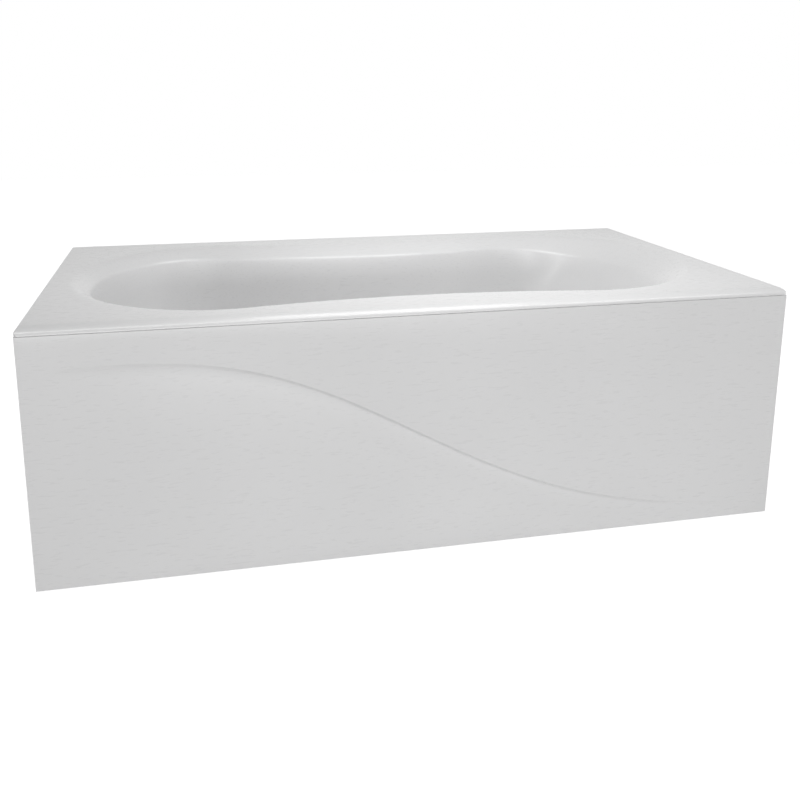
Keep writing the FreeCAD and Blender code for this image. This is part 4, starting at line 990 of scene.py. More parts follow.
def hexProfile(flats, z0, z1, bore=0.0):
    # a nut or bolt head with both faces chamfered at 30 degrees
    steps = [i / 4 for i in range(5)]
    corner = flats / math.sqrt(3)
    face = flats / 2 * 0.97
    cut = (corner - face) * math.tan(math.radians(30))
    low = [(face + (corner - face) * t, z0 + cut * t) for t in steps]
    high = [(face + (corner - face) * t, z1 - cut * t) for t in steps[::-1]]
    low[-1] = (corner + 1, low[-1][1])
    high[0] = (corner + 1, high[0][1])
    inside = [(bore, z1), (bore, z0)] if bore else [(0, z1)]
    return ([] if bore else [(0, z0)]) + low + high + inside


def grow(piece, tree, slot, values):
    # runs a node tree on a piece and keeps the result as its plain mesh, in one material
    modifier = piece.modifiers.new("grow", "NODES")
    modifier.node_group = tree
    values = {**values, "Finish": materials[slot]}
    for socket in tree.interface.items_tree:
        if socket.in_out == "INPUT" and socket.name in values:
            modifier[socket.identifier] = values[socket.name]
    applyModifiers(piece)
    piece.data.materials.clear()
    piece.data.materials.append(materials[slot])
    piece.data.polygons.foreach_set("material_index", [0] * len(piece.data.polygons))
    return piece


def roundEdges(piece, width):
    bevel = piece.modifiers.new("edge", "BEVEL")
    bevel.width = width
    bevel.segments = 2
    bevel.limit_method = "ANGLE"
    bevel.angle_limit = math.radians(fittings["crease"])
    return applyModifiers(piece)


def cutAway(piece, *cutters):
    for cutter in cutters:
        cut = piece.modifiers.new("cut", "BOOLEAN")
        cut.object = cutter
        cut.solver = "EXACT"
    applyModifiers(piece)
    forget(*cutters)
    return piece


def forget(*samples):
    for sample in samples:
        bpy.data.objects.remove(sample)


def closeFitting(piece, body, node, edge=0.0):
    # rounds the edges, scales to metres, hides the CAD node it stands for and parents the piece to its body
    def clean(mesh):
        bmesh.ops.remove_doubles(mesh, verts=mesh.verts, dist=1e-4)
        bmesh.ops.recalc_face_normals(mesh, faces=mesh.faces)
        for face in mesh.faces:
            face.smooth = True
        bmesh.ops.scale(mesh, vec=(0.001, 0.001, 0.001), verts=mesh.verts)

    if edge:
        roundEdges(piece, edge)
    reworked(piece, clean)
    piece.data.set_sharp_from_angle(angle=math.radians(fittings["crease"]))
    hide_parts(node)
    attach(piece, body)


def fitted(name, mesh, slot, node, body="bath", edge=0.0):
    closeFitting(finishMesh(name, mesh, slot), body, node, edge)


# node trees that repeat a piece, cut a thread or rib a tube


def newTree(name, *inputs):
    tree = bpy.data.node_groups.new(name, "GeometryNodeTree")
    for way in ("INPUT", "OUTPUT"):
        tree.interface.new_socket("Geometry", in_out=way, socket_type="NodeSocketGeometry")
    for label, kind, value in inputs + (("Finish", "Material", None),):
        socket = tree.interface.new_socket(label, in_out="INPUT", socket_type="NodeSocket" + kind)
        if value is not None:
            socket.default_value = value
    return tree, tree.nodes.new("NodeGroupInput").outputs


def endTree(tree, given, *geometry):
    together = add(tree, "GeometryNodeJoinGeometry")
    for part in geometry:
        tree.links.new(part, together.inputs[0])
    real = add(tree, "GeometryNodeRealizeInstances", [together.outputs[0]])
    finish = add(tree, "GeometryNodeSetMaterial", {"Geometry": real.outputs[0], "Material": given["Finish"]})
    add(tree, "NodeGroupOutput", [finish.outputs[0]])
    return tree


def placeOnPointsTree():
    # one copy of Piece on each point of the base mesh, all turned the same way
    tree, given = newTree("placeOnPoints", ("Piece", "Object", None), ("Turn", "Rotation", None))
    piece = add(tree, "GeometryNodeObjectInfo", {"Object": given["Piece"]})
    spread = add(tree, "GeometryNodeInstanceOnPoints",
                 {"Points": given["Geometry"], "Instance": piece.outputs["Geometry"],
                  "Rotation": given["Turn"]})
    return endTree(tree, given, spread.outputs[0])


def placeAroundTree():
    # Count copies of Piece round the upright axis through Middle, joined to the base mesh
    tree, given = newTree("placeAround", ("Piece", "Object", None), ("Count", "Int", 6),
                          ("Middle", "Vector", None))
    piece = add(tree, "GeometryNodeObjectInfo", {"Object": given["Piece"]})
    points = add(tree, "GeometryNodePoints", {"Count": given["Count"], "Position": given["Middle"]})
    share = maths(tree, "DIVIDE", add(tree, "GeometryNodeInputIndex").outputs[0], given["Count"])
    turn = add(tree, "ShaderNodeCombineXYZ", {"Z": maths(tree, "MULTIPLY", share, 2 * math.pi)})
    spread = add(tree, "GeometryNodeInstanceOnPoints",
                 {"Points": points.outputs[0], "Instance": piece.outputs["Geometry"],
                  "Rotation": turn.outputs[0]})
    return endTree(tree, given, given["Geometry"], spread.outputs[0])


def threadedRodTree():
    # an upright rod with a real helical thread, joined to the base mesh
    tree, given = newTree("threadedRod", ("Radius", "Float", 5.0), ("Depth", "Float", 0.6),
                          ("Pitch", "Float", 1.5), ("Length", "Float", 50.0),
                          ("Sides", "Int", 28), ("Foot", "Vector", None))
    turns = maths(tree, "DIVIDE", given["Length"], given["Pitch"])
    rows = maths(tree, "MULTIPLY", turns, 5.0)
    grid = add(tree, "GeometryNodeMeshGrid", {"Size X": 1.0, "Size Y": 1.0, "Vertices X": given["Sides"],
                                              "Vertices Y": rows})
    at = add(tree, "ShaderNodeSeparateXYZ", [add(tree, "GeometryNodeInputPosition").outputs[0]])
    turned = maths(tree, "ADD", at.outputs[0], 0.5)
    z = maths(tree, "MULTIPLY", maths(tree, "ADD", at.outputs[1], 0.5), given["Length"])
    phase = maths(tree, "SUBTRACT", maths(tree, "DIVIDE", z, given["Pitch"]), turned)
    wave = maths(tree, "MULTIPLY", maths(tree, "PINGPONG", phase, 0.5), 2.0)
    groove = maths(tree, "MULTIPLY", wave, given["Depth"])
    toEnd = maths(tree, "MINIMUM", z, maths(tree, "SUBTRACT", given["Length"], z))
    point = maths(tree, "MAXIMUM", maths(tree, "SUBTRACT", 1.0, toEnd), 0.0)
    r = maths(tree, "SUBTRACT", given["Radius"], maths(tree, "MAXIMUM", groove, point))
    whole = maths(tree, "LESS_THAN", maths(tree, "ABSOLUTE", at.outputs[1]), 0.4999)
    r = maths(tree, "MULTIPLY", r, whole)
    angle = maths(tree, "MULTIPLY", turned, 2 * math.pi)
    place = add(tree, "ShaderNodeCombineXYZ", [maths(tree, "MULTIPLY", r, maths(tree, "COSINE", angle)),
                                               maths(tree, "MULTIPLY", r, maths(tree, "SINE", angle)), z])
    bent = add(tree, "GeometryNodeSetPosition", {"Geometry": grid.outputs["Mesh"],
                                                 "Position": place.outputs[0], "Offset": given["Foot"]})
    merged = add(tree, "GeometryNodeMergeByDistance", {"Geometry": bent.outputs[0], "Distance": 0.001})
    return endTree(tree, given, given["Geometry"], merged.outputs[0])


def ribbedTubeTree():
    # a tube along the base mesh's line: ribs between two smooth cuffs
    tree, given = newTree("ribbedTube", ("Root Radius", "Float", 12.0), ("Crest Radius", "Float", 14.0),
                          ("Rib Pitch", "Float", 5.0), ("Cuff Length", "Float", 28.0),
                          ("Sides", "Int", 32), ("Capped", "Bool", False))
    line = add(tree, "GeometryNodeMeshToCurve", {"Mesh": given["Geometry"]})
    step = maths(tree, "DIVIDE", given["Rib Pitch"], 8.0)
    even = add(tree, "GeometryNodeResampleCurve", {"Curve": line.outputs[0], "Length": step}, mode="LENGTH")
    total = add(tree, "GeometryNodeCurveLength", [even.outputs[0]]).outputs[0]
    kept = tree.nodes.new("GeometryNodeCaptureAttribute")
    kept.capture_items.new("FLOAT", "along")
    kept.capture_items.new("VECTOR", "middle")
    tree.links.new(even.outputs[0], kept.inputs[0])
    tree.links.new(add(tree, "GeometryNodeSplineParameter").outputs["Length"], kept.inputs[1])
    tree.links.new(add(tree, "GeometryNodeInputPosition").outputs[0], kept.inputs[2])
    section = add(tree, "GeometryNodeCurvePrimitiveCircle", {"Resolution": given["Sides"],
                                                             "Radius": given["Root Radius"]})
    swept = add(tree, "GeometryNodeCurveToMesh",
                {"Curve": kept.outputs[0], "Profile Curve": section.outputs[0],
                 "Fill Caps": given["Capped"]})
    along = kept.outputs[1]
    fromEnd = maths(tree, "MINIMUM", along, maths(tree, "SUBTRACT", total, along))
    past = maths(tree, "SUBTRACT", fromEnd, given["Cuff Length"])
    phase = maths(tree, "MULTIPLY", maths(tree, "DIVIDE", past, given["Rib Pitch"]), 2 * math.pi)
    rib = maths(tree, "MULTIPLY", maths(tree, "COSINE", phase), 0.5)
    ease = add(tree, "ShaderNodeMapRange", {"Value": rib, "From Min": -0.3, "From Max": 0.3},
               interpolation_type="SMOOTHSTEP").outputs[0]
    cuff = maths(tree, "LESS_THAN", past, 0.0)
    share = maths(tree, "MAXIMUM", ease, cuff)
    swell = maths(tree, "SUBTRACT", given["Crest Radius"], given["Root Radius"])
    r = maths(tree, "ADD", given["Root Radius"], maths(tree, "MULTIPLY", swell, share))
    here = add(tree, "GeometryNodeInputPosition").outputs[0]
    away = add(tree, "ShaderNodeVectorMath", [here, kept.outputs[2]], operation="SUBTRACT").outputs[0]
    out = add(tree, "ShaderNodeVectorMath", [away], operation="NORMALIZE").outputs[0]
    reach = add(tree, "ShaderNodeVectorMath", {0: out, "Scale": r}, operation="SCALE").outputs[0]
    place = add(tree, "ShaderNodeVectorMath", [kept.outputs[2], reach], operation="ADD").outputs[0]
    shaped = add(tree, "GeometryNodeSetPosition", {"Geometry": swept.outputs[0], "Position": place})
    return endTree(tree, given, shaped.outputs[0])


placeOnPoints = placeOnPointsTree()
placeAround = placeAroundTree()
threadedRod = threadedRodTree()
ribbedTube = ribbedTubeTree()


def repeated(name, node, sample, places, turn=(0, 0, 0)):
    # copies of a steel sample on the given places, as one piece
    mesh = bmesh.new()
    addLoop(mesh, places)
    piece = finishMesh(name, mesh, "screw_steel")
    grow(piece, placeOnPoints, "screw_steel",
         {"Piece": sample, "Turn": [math.radians(a) for a in turn]})
    closeFitting(piece, "bath", node)


# screws, bolts and nuts

screws = {
    # head radius and height, shank radius and length
    "legScrew": (4.0, 2.5, 2.0, 15.1),
    "clipScrew": (3.5, 2.0, 1.75, 19.2),
    "wallScrew": (4.0, 2.5, 2.0, 20.2),
    "trimScrew": (3.8, 1.5, 2.0, 19.6),
    "bars": ((-330.0, 109.2456), (262.0, 114.4119)),     # each leg bar's place along the bath and top
    "legScrewRows": (-130.0, -60.0, 60.0, 130.0), "barSteel": 2.0, "gap": 0.1,
    "clipX": (-600.0, -200.0, 200.0, 600.0), "clipY": -381.1, "clipZ": 467.4, "clipApart": 9.0,
    "wallX": (-450.0, 450.0), "wallY": 373.0, "wallZ": 460.3, "wallApart": 12.0,
    "trimApart": 19.0, "trimOut": 1.6,
    "boltFlats": 10.0, "boltHead": 4.0, "boltRadius": 3.0, "boltReach": 12.2, "boltPoint": 0.8,
    "boltY": (-289.0, -245.0), "boltDrop": 13.5, "boltFace": 20.0, "boltOut": 3.2,
    "footY": 270.0, "glandZ": 353.4204, "glandX": -522.1, "glandTurn": 30.0,
    # across flats, height and bore
    "nut": (17.0, 8.0, 5.05), "smallNut": (10.0, 5.0, 3.05), "glandNut": (11.0, 6.0, 2.55),
}


def screwSample(kind, cross=True):
    # head below the origin, shank above it
    headRadius, headHeight, shank, reach = screws[kind]
    mesh = bmesh.new()
    dome = [(0.5, -0.97), (0.78, -0.84), (0.93, -0.60), (1.0, -0.25), (1.0, 0)]
    head = [(r * headRadius, z * headHeight) for r, z in dome]
    tip = [(shank, 0), (shank, reach - 2 * shank), (0, reach)]
    lathe(mesh, [(0, -headHeight)] + head + tip, count=40)
    piece = finishMesh(kind, mesh, "screw_steel")
    wide, across, deep = (0.13, 0.58, 0.45) if cross else (0.12, 1.2, 0.6)
    slots = [(wide, across), (across, wide)] if cross else [(wide, across)]
    cutters = []
    for x, y in slots:
        drive = bmesh.new()
        block(drive, (-x * headRadius, -y * headRadius, -headHeight - 1),
              (x * headRadius, y * headRadius, -headHeight * deep))
        cutters.append(finishMesh("drive", drive, "screw_steel"))
    return cutAway(piece, *cutters)


def pairs(xs, apart, y, z):
    return [Vector((x + side * apart, y, z)) for x in xs for side in (-1, 1)]


def makeScrews():
    s = screws
    gap = s["gap"]
    leg = screwSample("legScrew", False)
    spots = [Vector((x, y, top - s["barSteel"] - gap)) for x, top in s["bars"]
             for y in s["legScrewRows"]]
    repeated("legScrews", "leg_screws", leg, spots)
    clip = screwSample("clipScrew")
    spots = pairs(s["clipX"], s["clipApart"], s["clipY"] - gap, s["clipZ"])
    repeated("clipScrews", "clip_screws", clip, spots, (-90, 0, 0))
    wall = screwSample("wallScrew")
    spots = pairs(s["wallX"], s["wallApart"], s["wallY"], s["wallZ"] - gap)
    repeated("wallBracketScrews", "wall_bracket_screws", wall, spots)
    trim = screwSample("trimScrew")
    spots = [wallFrame() @ spot for spot in pairs((0,), s["trimApart"], 0, s["trimOut"])]
    repeated("trimScrews", "trim_screws", trim, spots, (0, -90 - fittings["lean"], 0))
    forget(leg, clip, wall, trim)


def addNut(mesh, kind, place=Matrix()):
    flats, height, bore = screws[kind]
    lathe(mesh, hexProfile(flats, 0, height, bore), place, True, sixSided(flats), 48)


def nutSample(kind):
    mesh = bmesh.new()
    addNut(mesh, kind)
    return finishMesh(kind, mesh, "screw_steel")


def boltSample():
    flats, r, reach, point = pick(screws, "boltFlats", "boltRadius", "boltReach", "boltPoint")
    mesh = bmesh.new()
    lathe(mesh, hexProfile(flats, -screws["boltHead"], 0), limit=sixSided(flats), count=48)
    lathe(mesh, [(0, -1), (r, -1), (r, reach - point), (r - point, reach), (0, reach)], count=32)
    return finishMesh("bolt", mesh, "screw_steel")


def makeNuts():
    s = screws
    gap = s["gap"]
    nut = nutSample("nut")
    small = nutSample("smallNut")
    bolt = boltSample()
    below = s["barSteel"] + gap + s["nut"][1]
    for name, node, shift in (("weldNuts", "weld_nuts", -below), ("lockNuts", "lock_nuts", gap)):
        repeated(name, node, nut, [Vector((x, y, top + shift)) for x, top in s["bars"]
                                   for y in (-s["footY"], s["footY"])])
    bolts = [Vector((x + s["boltFace"], y, top - s["boltDrop"])) for x, top in s["bars"]
             for y in s["boltY"]]
    head = Vector((s["boltOut"], 0, 0))
    repeated("bracketBolts", "bracket_bolts", bolt, [p + head for p in bolts], (0, -90, 0))
    back = Vector((s["barSteel"] + gap + s["smallNut"][1], 0, 0))
    repeated("bracketNuts", "bracket_nuts", small, [p - back for p in bolts], (0, 90, 0))
    mesh = bmesh.new()
    addNut(mesh, "glandNut", Matrix.Translation((hose["x"], hose["cableY"], s["glandZ"])))
    turn = Matrix.Rotation(math.radians(s["glandTurn"]), 4, "Z")
    addNut(mesh, "glandNut", facing((s["glandX"], hose["cableY"], hose["z"]), (-1, 0, 0)) @ turn)
    fitted("glandNuts", mesh, "lever_brass", "gland_nuts")
    forget(nut, bolt, small)


# overflow hose and control cable

hose = {
    "x": -682.8674, "z": 100.6111, "top": 370.5204, "endX": -511.0, "bend": 70.0,
    "root": 12.0, "crest": 14.0, "pitch": 5.0, "cuff": 28.0, "wall": 1.4,
    "cableY": 23.0, "cableTop": 377.5204, "cableEndX": -504.0, "cableBend": 60.0, "cableRadius": 2.5,
    "bendSteps": 24, "cableStep": 16.0, "cableSides": 20,
    "clipWidth": 8.0, "clipSteel": 1.2, "clipGap": 0.1, "clipFromEnd": 6.0,
}


def bentLine(y, top, endX, bend):
    # down, a quarter turn, then level
    x, z, steps = pick(hose, "x", "z", "bendSteps")
    points = [Vector((x, y, top)), Vector((x, y, z + bend))]
    for i in range(1, steps + 1):
        a = math.radians(90 * i / steps)
        points.append(Vector((x + bend * (1 - math.cos(a)), y, z + bend * (1 - math.sin(a)))))
    points.append(Vector((endX, y, z)))
    mesh = bmesh.new()
    line = addLoop(mesh, points)
    for ends in zip(line, line[1:]):
        mesh.edges.new(ends)
    return mesh


def makeHose():
    h = hose
    mesh = bentLine(0.0, *pick(h, "top", "endX", "bend"))
    piece = finishMesh("overflowHose", mesh, "hose_plastic")
    grow(piece, ribbedTube, "hose_plastic", {"Root Radius": h["root"], "Crest Radius": h["crest"],
                                             "Rib Pitch": h["pitch"], "Cuff Length": h["cuff"]})
    reworked(piece, lambda tube: bmesh.ops.recalc_face_normals(tube, faces=tube.faces))
    thicken(piece, h["wall"])
    closeFitting(piece, "bath", "overflow_hose")
    mesh = bentLine(*pick(h, "cableY", "cableTop", "cableEndX", "cableBend"))
    piece = finishMesh("controlCable", mesh, "cable_sheath")
    r = h["cableRadius"]
    grow(piece, ribbedTube, "cable_sheath", {"Root Radius": r, "Crest Radius": r, "Capped": True,
                                             "Rib Pitch": h["cableStep"], "Sides": h["cableSides"]})
    closeFitting(piece, "bath", "control_cable")


def makeHoseClips():
    # worm-drive clips: a slotted band and a screw in its housing
    h = hose
    inner = h["crest"] + h["clipGap"]
    outer = inner + h["clipSteel"]
    wide, fromEnd = pick(h, "clipWidth", "clipFromEnd")
    upper = Matrix.Translation((h["x"], 0, h["top"] - fromEnd - wide))
    level = Matrix.Rotation(math.radians(90), 4, "Y")
    lower = Matrix.Translation((h["endX"] - fromEnd - wide, 0, h["z"])) @ level
    mesh = bmesh.new()
    for place in (upper, lower):
        band = [(inner, 0), (outer, 0), (outer, 0.9), (outer - 0.45, 1.3), (outer - 0.45, wide - 1.3),
                (outer, wide - 0.9), (outer, wide), (inner, wide)]
        lathe(mesh, band, place, True, None, 72)
        block(mesh, (-4, -outer - 3.4, 0.5), (2.6, -inner - 0.6, wide - 0.5), place)
        turn = place @ Matrix.Translation((2.2, -outer - 1.7, wide / 2)) @ level
        lathe(mesh, [(0, 0), (2.0, 0), (2.0, 1.5), (1.6, 1.8), (0, 1.8)], turn, count=24)
    fitted("hoseClips", mesh, "strike_steel", "hose_clips", edge=0.25)


# feet

feet = {
    "stemRadius": 5.0, "stemFoot": 10.3, "stemLength": 112.0, "threadDepth": 0.55, "pitch": 1.5,
    "collarFlats": 13.0, "collarLow": 31.0, "collarHigh": 37.0,
    "padRadius": 25.0, "soleHeight": 6.0, "neckRadius": 11.0, "padHeight": 30.0, "socketFloor": 10.0,
    "ribs": 6, "ribThickness": 2.0, "ribSteps": 6, "ribEdge": 0.35,
    "places": {"front_left": (-330.0, -270.0), "back_left": (-330.0, 270.0),
               "front_right": (262.0, -270.0), "back_right": (262.0, 270.0)},
}


def gusset():
    f = feet
    half = f["ribThickness"] / 2
    low = f["soleHeight"] - 1
    foot = f["soleHeight"] + 0.4
    out = f["padRadius"] - 4
    steps = [i / f["ribSteps"] for i in range(1, f["ribSteps"] + 1)]
    mesh = bmesh.new()
    outline = [(f["neckRadius"] - 2.5, low), (out, low), (out, foot)]
    outline += [(out - 17.5 * t + 3.0 * t * (1 - t), foot + 18.6 * t ** 1.6) for t in steps]
    sides = [[mesh.verts.new((x, y, z)) for x, z in outline] for y in (-half, half)]
    mesh.faces.new(sides[0])
    mesh.faces.new(sides[1][::-1])
    bridge(mesh, sides[0], sides[1])
    return roundEdges(finishMesh("gusset", mesh, "foot_plastic"), f["ribEdge"])


def makeFeet():
    f = feet
    rib = gusset()
    for corner, (x, y) in f["places"].items():
        tail = corner.title().replace("_", "")
        mesh = bmesh.new()
        place = Matrix.Translation((x, y, 0))
        lathe(mesh, hexProfile(f["collarFlats"], f["collarLow"], f["collarHigh"]), place,
              limit=sixSided(f["collarFlats"]), count=48)
        stem = finishMesh("footStem" + tail, mesh, "screw_steel")
        grow(stem, threadedRod, "screw_steel",
             {"Radius": f["stemRadius"], "Depth": f["threadDepth"], "Pitch": f["pitch"],
              "Length": f["stemLength"], "Foot": (x, y, f["stemFoot"])})
        closeFitting(stem, "stem_" + corner, "foot_stem_" + corner)
        mesh = bmesh.new()
        r, h, neck, top, floor = pick(f, "padRadius", "soleHeight", "neckRadius", "padHeight", "socketFloor")
        lathe(mesh, [(0, 0.6), (r - 5, 0.6), (r - 4, 0), (r - 1, 0), (r, 1), (r, h - 2.4),
                     (r - 0.6, h - 1.2), (r - 2.4, h), (neck + 1.5, h), (neck + 0.3, h + 0.5),
                     (neck, h + 1.6), (neck - 1, top - 1), (neck - 1.8, top), (5.6, top),
                     (5.05, top - 0.6), (5.05, floor), (0, floor)], count=64)
        pad = finishMesh("footPadBase", mesh, "foot_plastic")
        grow(pad, placeAround, "foot_plastic", {"Piece": rib, "Count": f["ribs"]})
        pad.name = "footPad" + tail
        pad.data.transform(place)
        closeFitting(pad, "pad_" + corner, "foot_pad_" + corner)
    forget(rib)


# pop-up waste and trap

waste = {
    "x": -480.0, "flangeRadius": 36.0, "flangeLow": 132.5111, "flangeTop": 135.5111, "bore": 21.0,
    "bowl": 30.0, "bowlDepth": 2.2, "sleeve": 24.0, "sleeveLow": 111.8111, "spider": 5.0,
    "hub": 7.0, "hubBore": 4.05, "arms": 3, "armWidth": 3.0,
    "plugRadius": 29.0, "plugLow": 135.8111, "stemLow": 101.8111, "stemRadius": 4.0,
    "bodyTop": 122.6111, "bodyFlange": 4.0, "bodyRadius": 41.0, "chamber": 30.0, "chamberInner": 27.0,
    "chamberLow": 82.6111, "tail": 24.0, "tailInner": 19.5, "tailLow": 69.6111,
    "spigot": 10.2, "spigotBore": 8.0, "gland": 4.5, "glandBore": 2.55,
    "trapRadius": 20.0, "trapInner": 17.5, "trapTop": 68.0111, "lowZ": 56.0, "bend": 32.0,
    "elbow": 26.0, "outletZ": 85.0, "outlet": 48.0, "collar": 2.5, "bendSteps": 32, "elbowSteps": 16,
    "nutFlats": 60.0, "nutLow": 61.4111, "nutHeight": 17.0, "nutLip": 4.0, "nutBore": 20.2,
    "seat": 24.05, "spoutReach": 26.0, "glandStart": 16.0,
}


def makeWaste():
    w = waste
    place = Matrix.Translation((w["x"], 0, 0))
    r, low, top, bore, bowl = pick(w, "flangeRadius", "flangeLow", "flangeTop", "bore", "bowl")
    sleeve, end, hub, hubBore = pick(w, "sleeve", "sleeveLow", "hub", "hubBore")
    deep = top - w["bowlDepth"]
    web = end + w["spider"]
    mesh = bmesh.new()
    lathe(mesh, [(bore, end), (sleeve, end), (sleeve, low), (r, low), (r, low + 1.6),
                 (r - 0.25, top - 0.75), (r - 0.8, top - 0.25), (r - 1.7, top), (bowl + 1.6, top),
                 (bowl + 0.6, top - 0.1), (bowl - 0.4, top - 0.35), (bore + 1.4, deep + 0.2),
                 (bore + 0.4, deep - 0.1), (bore, deep - 0.7)], place, True, count=96)
    lathe(mesh, [(hubBore, end), (hub, end), (hub, web), (hubBore, web)], place, True)
    flange = finishMesh("wasteFlange", mesh, "waste_chrome")
    arm = bmesh.new()
    half = w["armWidth"] / 2
    block(arm, (hub - 1.5, -half, end), (bore + 1, half, web))
    spoke = roundEdges(finishMesh("spoke", arm, "waste_chrome"), 0.5)
    grow(flange, placeAround, "waste_chrome",
         {"Piece": spoke, "Count": w["arms"], "Middle": (w["x"], 0.0, 0.0)})
    closeFitting(flange, "bath", "waste_flange")
    forget(spoke)
    mesh = bmesh.new()
    r, z, stem, foot = pick(w, "plugRadius", "plugLow", "stemRadius", "stemLow")
    crown = [(1, 0), (0.35, 0.25), (0, 0.8), (0.35, 1.5), (1.5, 2.4), (4, 3.5), (7, 4.35), (11, 5.0),
             (16, 5.4), (22, 5.7)]
    lathe(mesh, [(0, foot), (3.2, foot), (stem, foot + 0.8), (stem, z), (21.4, z), (21.4, z + 0.9),
                 (25.1, z + 0.9), (25.1, z)] + [(r - inside, z + up) for inside, up in crown]
          + [(0, z + 5.8)], place, count=96)
    fitted("wastePlug", mesh, "waste_chrome", "waste_plug", "plug")
    mesh = bmesh.new()
    r, top, chamber, inner, low = pick(w, "bodyRadius", "bodyTop", "chamber", "chamberInner", "chamberLow")
    tail, tailInner, tailLow, seat = pick(w, "tail", "tailInner", "tailLow", "seat")
    under = top - w["bodyFlange"]
    floor = low + 3
    lathe(mesh, [(seat, top), (r, top), (r, under), (chamber, under), (chamber, low), (tail, low),
                 (tail, tailLow), (tailInner, tailLow), (tailInner, floor), (inner, floor),
                 (inner, end), (seat, end)], place, True, count=96)
    for x, y, outer, bored in ((w["x"] - inner - 1, 0, w["spigot"], w["spigotBore"]),
                               (w["x"] - w["glandStart"], hose["cableY"], w["gland"], w["glandBore"])):
        tube(mesh, (x, y, hose["z"]), (-1, 0, 0), outer, bored, w["spoutReach"])
    fitted("wasteBody", mesh, "waste_plastic", "waste_body", edge=0.5)


def sweep(mesh, path, outer, inner, count=48):
    # a pipe in the plane across the bath: path holds (point, direction)
    rings = []
    side = Vector((1, 0, 0))
    for point, direction in path:
        up = Vector(direction).cross(side)
        rings.append([[mesh.verts.new(Vector(point) + side * r * c + up * r * s)
                       for c, s in around(count)] for r in (outer, inner)])
    for first, second in zip(rings, rings[1:]):
        bridge(mesh, first[0], second[0])
        bridge(mesh, second[1], first[1])
    bridge(mesh, rings[0][1], rings[0][0])
    bridge(mesh, rings[-1][0], rings[-1][1])


def makeTrap():
    w = waste
    x, bend, elbow, low, top = pick(w, "x", "bend", "elbow", "lowZ", "trapTop")
    path = [((x, 0, top), (0, 0, -1)), ((x, 0, low), (0, 0, -1))]
    for i in range(1, w["bendSteps"] + 1):
        a = math.pi * i / w["bendSteps"]
        path.append(((x, bend - bend * math.cos(a), low - bend * math.sin(a)),
                     (0, math.sin(a), -math.cos(a))))
    rise = w["outletZ"] - elbow
    path.append(((x, 2 * bend, rise), (0, 0, 1)))
    for i in range(1, w["elbowSteps"] + 1):
        a = math.pi / 2 * i / w["elbowSteps"]
        path.append(((x, 2 * bend + elbow * (1 - math.cos(a)), rise + elbow * math.sin(a)),
                     (0, math.sin(a), math.cos(a))))
    path.append(((x, 2 * bend + elbow + w["outlet"], w["outletZ"]), (0, 1, 0)))
    mesh = bmesh.new()
    sweep(mesh, path, w["trapRadius"], w["trapInner"])
    place = Matrix.Translation((x, 0, 0))
    inner = w["trapInner"] + 0.4
    inlet = top - w["collar"]
    lathe(mesh, [(inner, inlet), (w["tail"], inlet), (w["tail"], top), (inner, top)], place, True)
    fitted("trapBody", mesh, "trap_plastic", "trap_body", edge=0.4)
    flats, z, bore, seat = pick(w, "nutFlats", "nutLow", "nutBore", "seat")
    face = flats / 2
    corner = flats / math.sqrt(3)
    slope = corner - face
    lip = z + w["nutLip"]
    high = z + w["nutHeight"]
    mesh = bmesh.new()
    lathe(mesh, [(bore, z)] + [(face + slope * i / 6, z + slope * i / 6) for i in range(6)]
          + [(corner + 1, z + slope), (corner + 1, high), (seat, high), (seat, lip), (bore, lip)],
          place, True, sixSided(flats), 96)
    fitted("trapNut", mesh, "trap_plastic", "trap_nut", edge=0.5)


# overflow and its knob

overflow = {
    "front": -9.2, "flange": 38.0, "flangeHeight": 4.0, "cup": 31.0, "cupInner": 28.0, "depth": 40.0,
    "bearing": 7.0, "bore": 4.05, "boss": 4.5, "screwBore": 2.05, "screwAway": 19.0,
    "spigot": 10.2, "spigotBore": 8.0, "spigotLow": 351.5204, "spigotReach": 30.0,
    "gland": 4.5, "glandBore": 2.55, "glandLow": 359.5204, "glandReach": 26.0,
    "trimRadius": 37.0, "trimHeight": 3.0, "windowOuter": 25.0, "windowInner": 9.0, "bridge": 14.0,
    "hub": 7.0, "hubRise": 1.5, "windowSteps": 24, "seat": 4.0, "seatFloor": 1.5,
    "knobBack": 9.1, "knobHeight": 13.0, "knobRadius": 34.0, "grips": 6, "gripRadius": 9.0,
    "gripAway": 40.5, "knobHub": 8.0,
}


def makeOverflowBody():
    o = overflow
    place = wallFrame()
    front = o["front"]
    under = front - o["flangeHeight"]
    back = under - o["depth"]
    mesh = bmesh.new()
    lathe(mesh, [(0, back + 3), (o["cupInner"], back + 3), (o["cupInner"], front), (o["flange"], front),
                 (o["flange"], under), (o["cup"], under), (o["cup"], back + 1.5), (o["cup"] - 1.5, back),
                 (0, back)], place, count=96)
    lathe(mesh, [(o["bore"], back + 1), (o["bearing"], back + 1), (o["bearing"], back + 9),
                 (o["bore"], back + 9)], place, True)
    for side in (-1, 1):
        boss = place @ Matrix.Translation((side * o["screwAway"], 0, 0))
        lathe(mesh, [(o["screwBore"], back + 1), (o["boss"], back + 1), (o["boss"], -2.0),
                     (o["screwBore"], -2.0)], boss, True, count=32)
    tube(mesh, (hose["x"], 0, o["spigotLow"]), (0, 0, 1), o["spigot"], o["spigotBore"], o["spigotReach"])
    tube(mesh, (hose["x"], hose["cableY"], o["glandLow"]), (0, 0, 1), o["gland"], o["glandBore"],
         o["glandReach"])
    fitted("overflowBody", mesh, "waste_plastic", "overflow_body", edge=0.4)


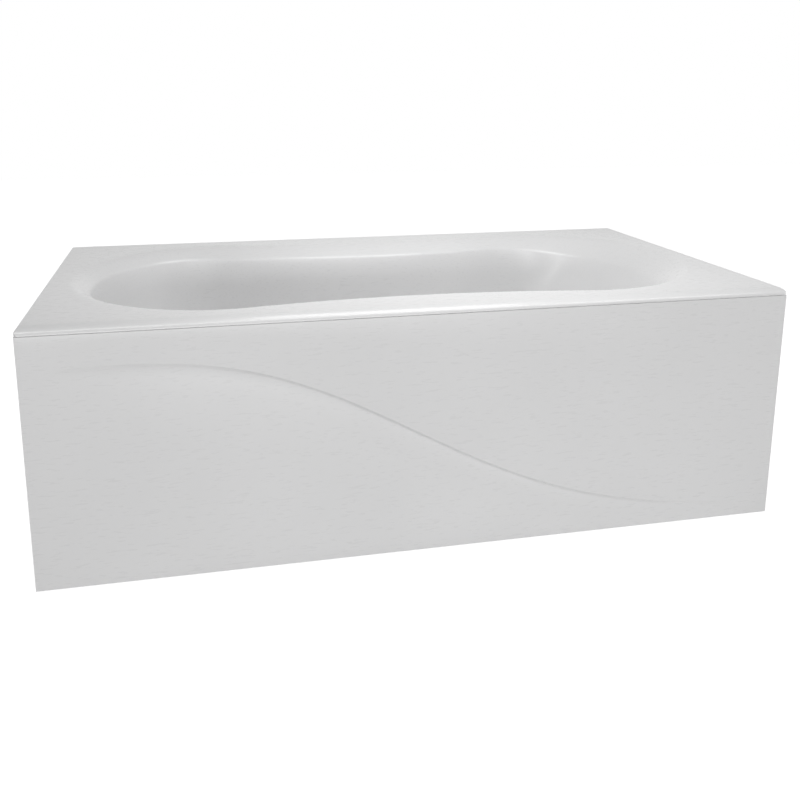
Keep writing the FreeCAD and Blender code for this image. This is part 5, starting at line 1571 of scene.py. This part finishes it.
def makeTrim():
    # a disc with two water windows, a bored bridge and sunk screw seats
    o = overflow
    place = wallFrame(0.1)
    r = o["trimRadius"]
    h = o["trimHeight"]
    mesh = bmesh.new()
    lathe(mesh, [(0, 0), (r, 0), (r, h - 1.5), (r - 0.2, h - 0.8), (r - 0.8, h - 0.2), (r - 1.5, h),
                 (o["hub"], h), (o["hub"], h + o["hubRise"]), (0, h + o["hubRise"])], place, count=96)
    piece = finishMesh("overflowTrim", mesh, "waste_chrome")
    cutters = []
    for side in (-1, 1):
        mesh = bmesh.new()
        reach = o["bridge"] / 2
        outline = []
        for radius, way in ((o["windowOuter"], 1), (o["windowInner"], -1)):
            a0 = math.asin(reach / radius)
            n = o["windowSteps"]
            swept = [a0 + (math.pi - 2 * a0) * i / n for i in range(n + 1)][::way]
            outline += [(radius * math.cos(a), side * radius * math.sin(a)) for a in swept]
        rows = [[mesh.verts.new(place @ Vector((x, y, z))) for x, y in outline] for z in (-2, h + 3)]
        mesh.faces.new(rows[0])
        mesh.faces.new(rows[1][::-1])
        bridge(mesh, rows[0], rows[1])
        cutters.append(finishMesh("window", mesh, "waste_chrome"))
    bores = [(0, o["bore"], -2, h + 4)]
    for side in (-1, 1):
        x = side * o["screwAway"]
        bores += [(x, o["screwBore"], -2, h), (x, o["seat"], o["seatFloor"], h + 2)]
    for x, radius, z0, z1 in bores:
        mesh = bmesh.new()
        seat = place @ Matrix.Translation((x, 0, 0))
        lathe(mesh, [(0, z0), (radius, z0), (radius, z1), (0, z1)], seat, count=40)
        cutters.append(finishMesh("bore", mesh, "waste_chrome"))
    cutAway(piece, *cutters)
    closeFitting(piece, "bath", "overflow_trim")


def gripReach(angle):
    # how far out the knob goes at an angle, with a soft hollow at each grip
    o = overflow
    step = 2 * math.pi / o["grips"]
    off = abs((angle + step / 2) % step - step / 2)
    across = o["gripAway"] * math.sin(off)
    if across >= o["gripRadius"]:
        return o["knobRadius"] + 1
    reach = o["gripAway"] * math.cos(off) - math.sqrt(o["gripRadius"] ** 2 - across ** 2)
    return softMin(reach, o["knobRadius"] + 0.2, 1.6)


def makeKnob():
    o = overflow
    back, r, hub, bore = pick(o, "knobBack", "knobRadius", "knobHub", "bore")
    face = back + o["knobHeight"]
    mesh = bmesh.new()
    lathe(mesh, [(0, face - 1.5), (10, face - 1.25), (20, face - 0.5), (24, face - 0.15), (26.5, face),
                 (28.5, face - 0.35), (30.5, face - 1.4), (32, face - 3.0), (33, face - 5),
                 (33.6, back + 3.5), (r, back + 1.4), (r - 0.3, back + 0.4), (r - 1.1, back),
                 (31, back), (30.4, back + 1), (29.8, face - 6.4), (29, face - 5.6),
                 (hub + 0.8, face - 4.8), (hub, face - 5.4), (hub, back - 2), (bore, back - 2),
                 (bore, face - 5), (0, face - 5)], wallFrame(), False, gripReach, 144)
    fitted("overflowKnob", mesh, "waste_chrome", "overflow_knob", "knob")


for stage, makers in (("screws, bolts and nuts", (makeScrews, makeNuts)),
                      ("hose, cable and clips", (makeHose, makeHoseClips)), ("feet", (makeFeet,)),
                      ("waste and trap", (makeWaste, makeTrap)),
                      ("overflow and knob", (makeOverflowBody, makeTrim, makeKnob))):
    for make in makers:
        make()
    print("scene:", stage)

print("scene: done")
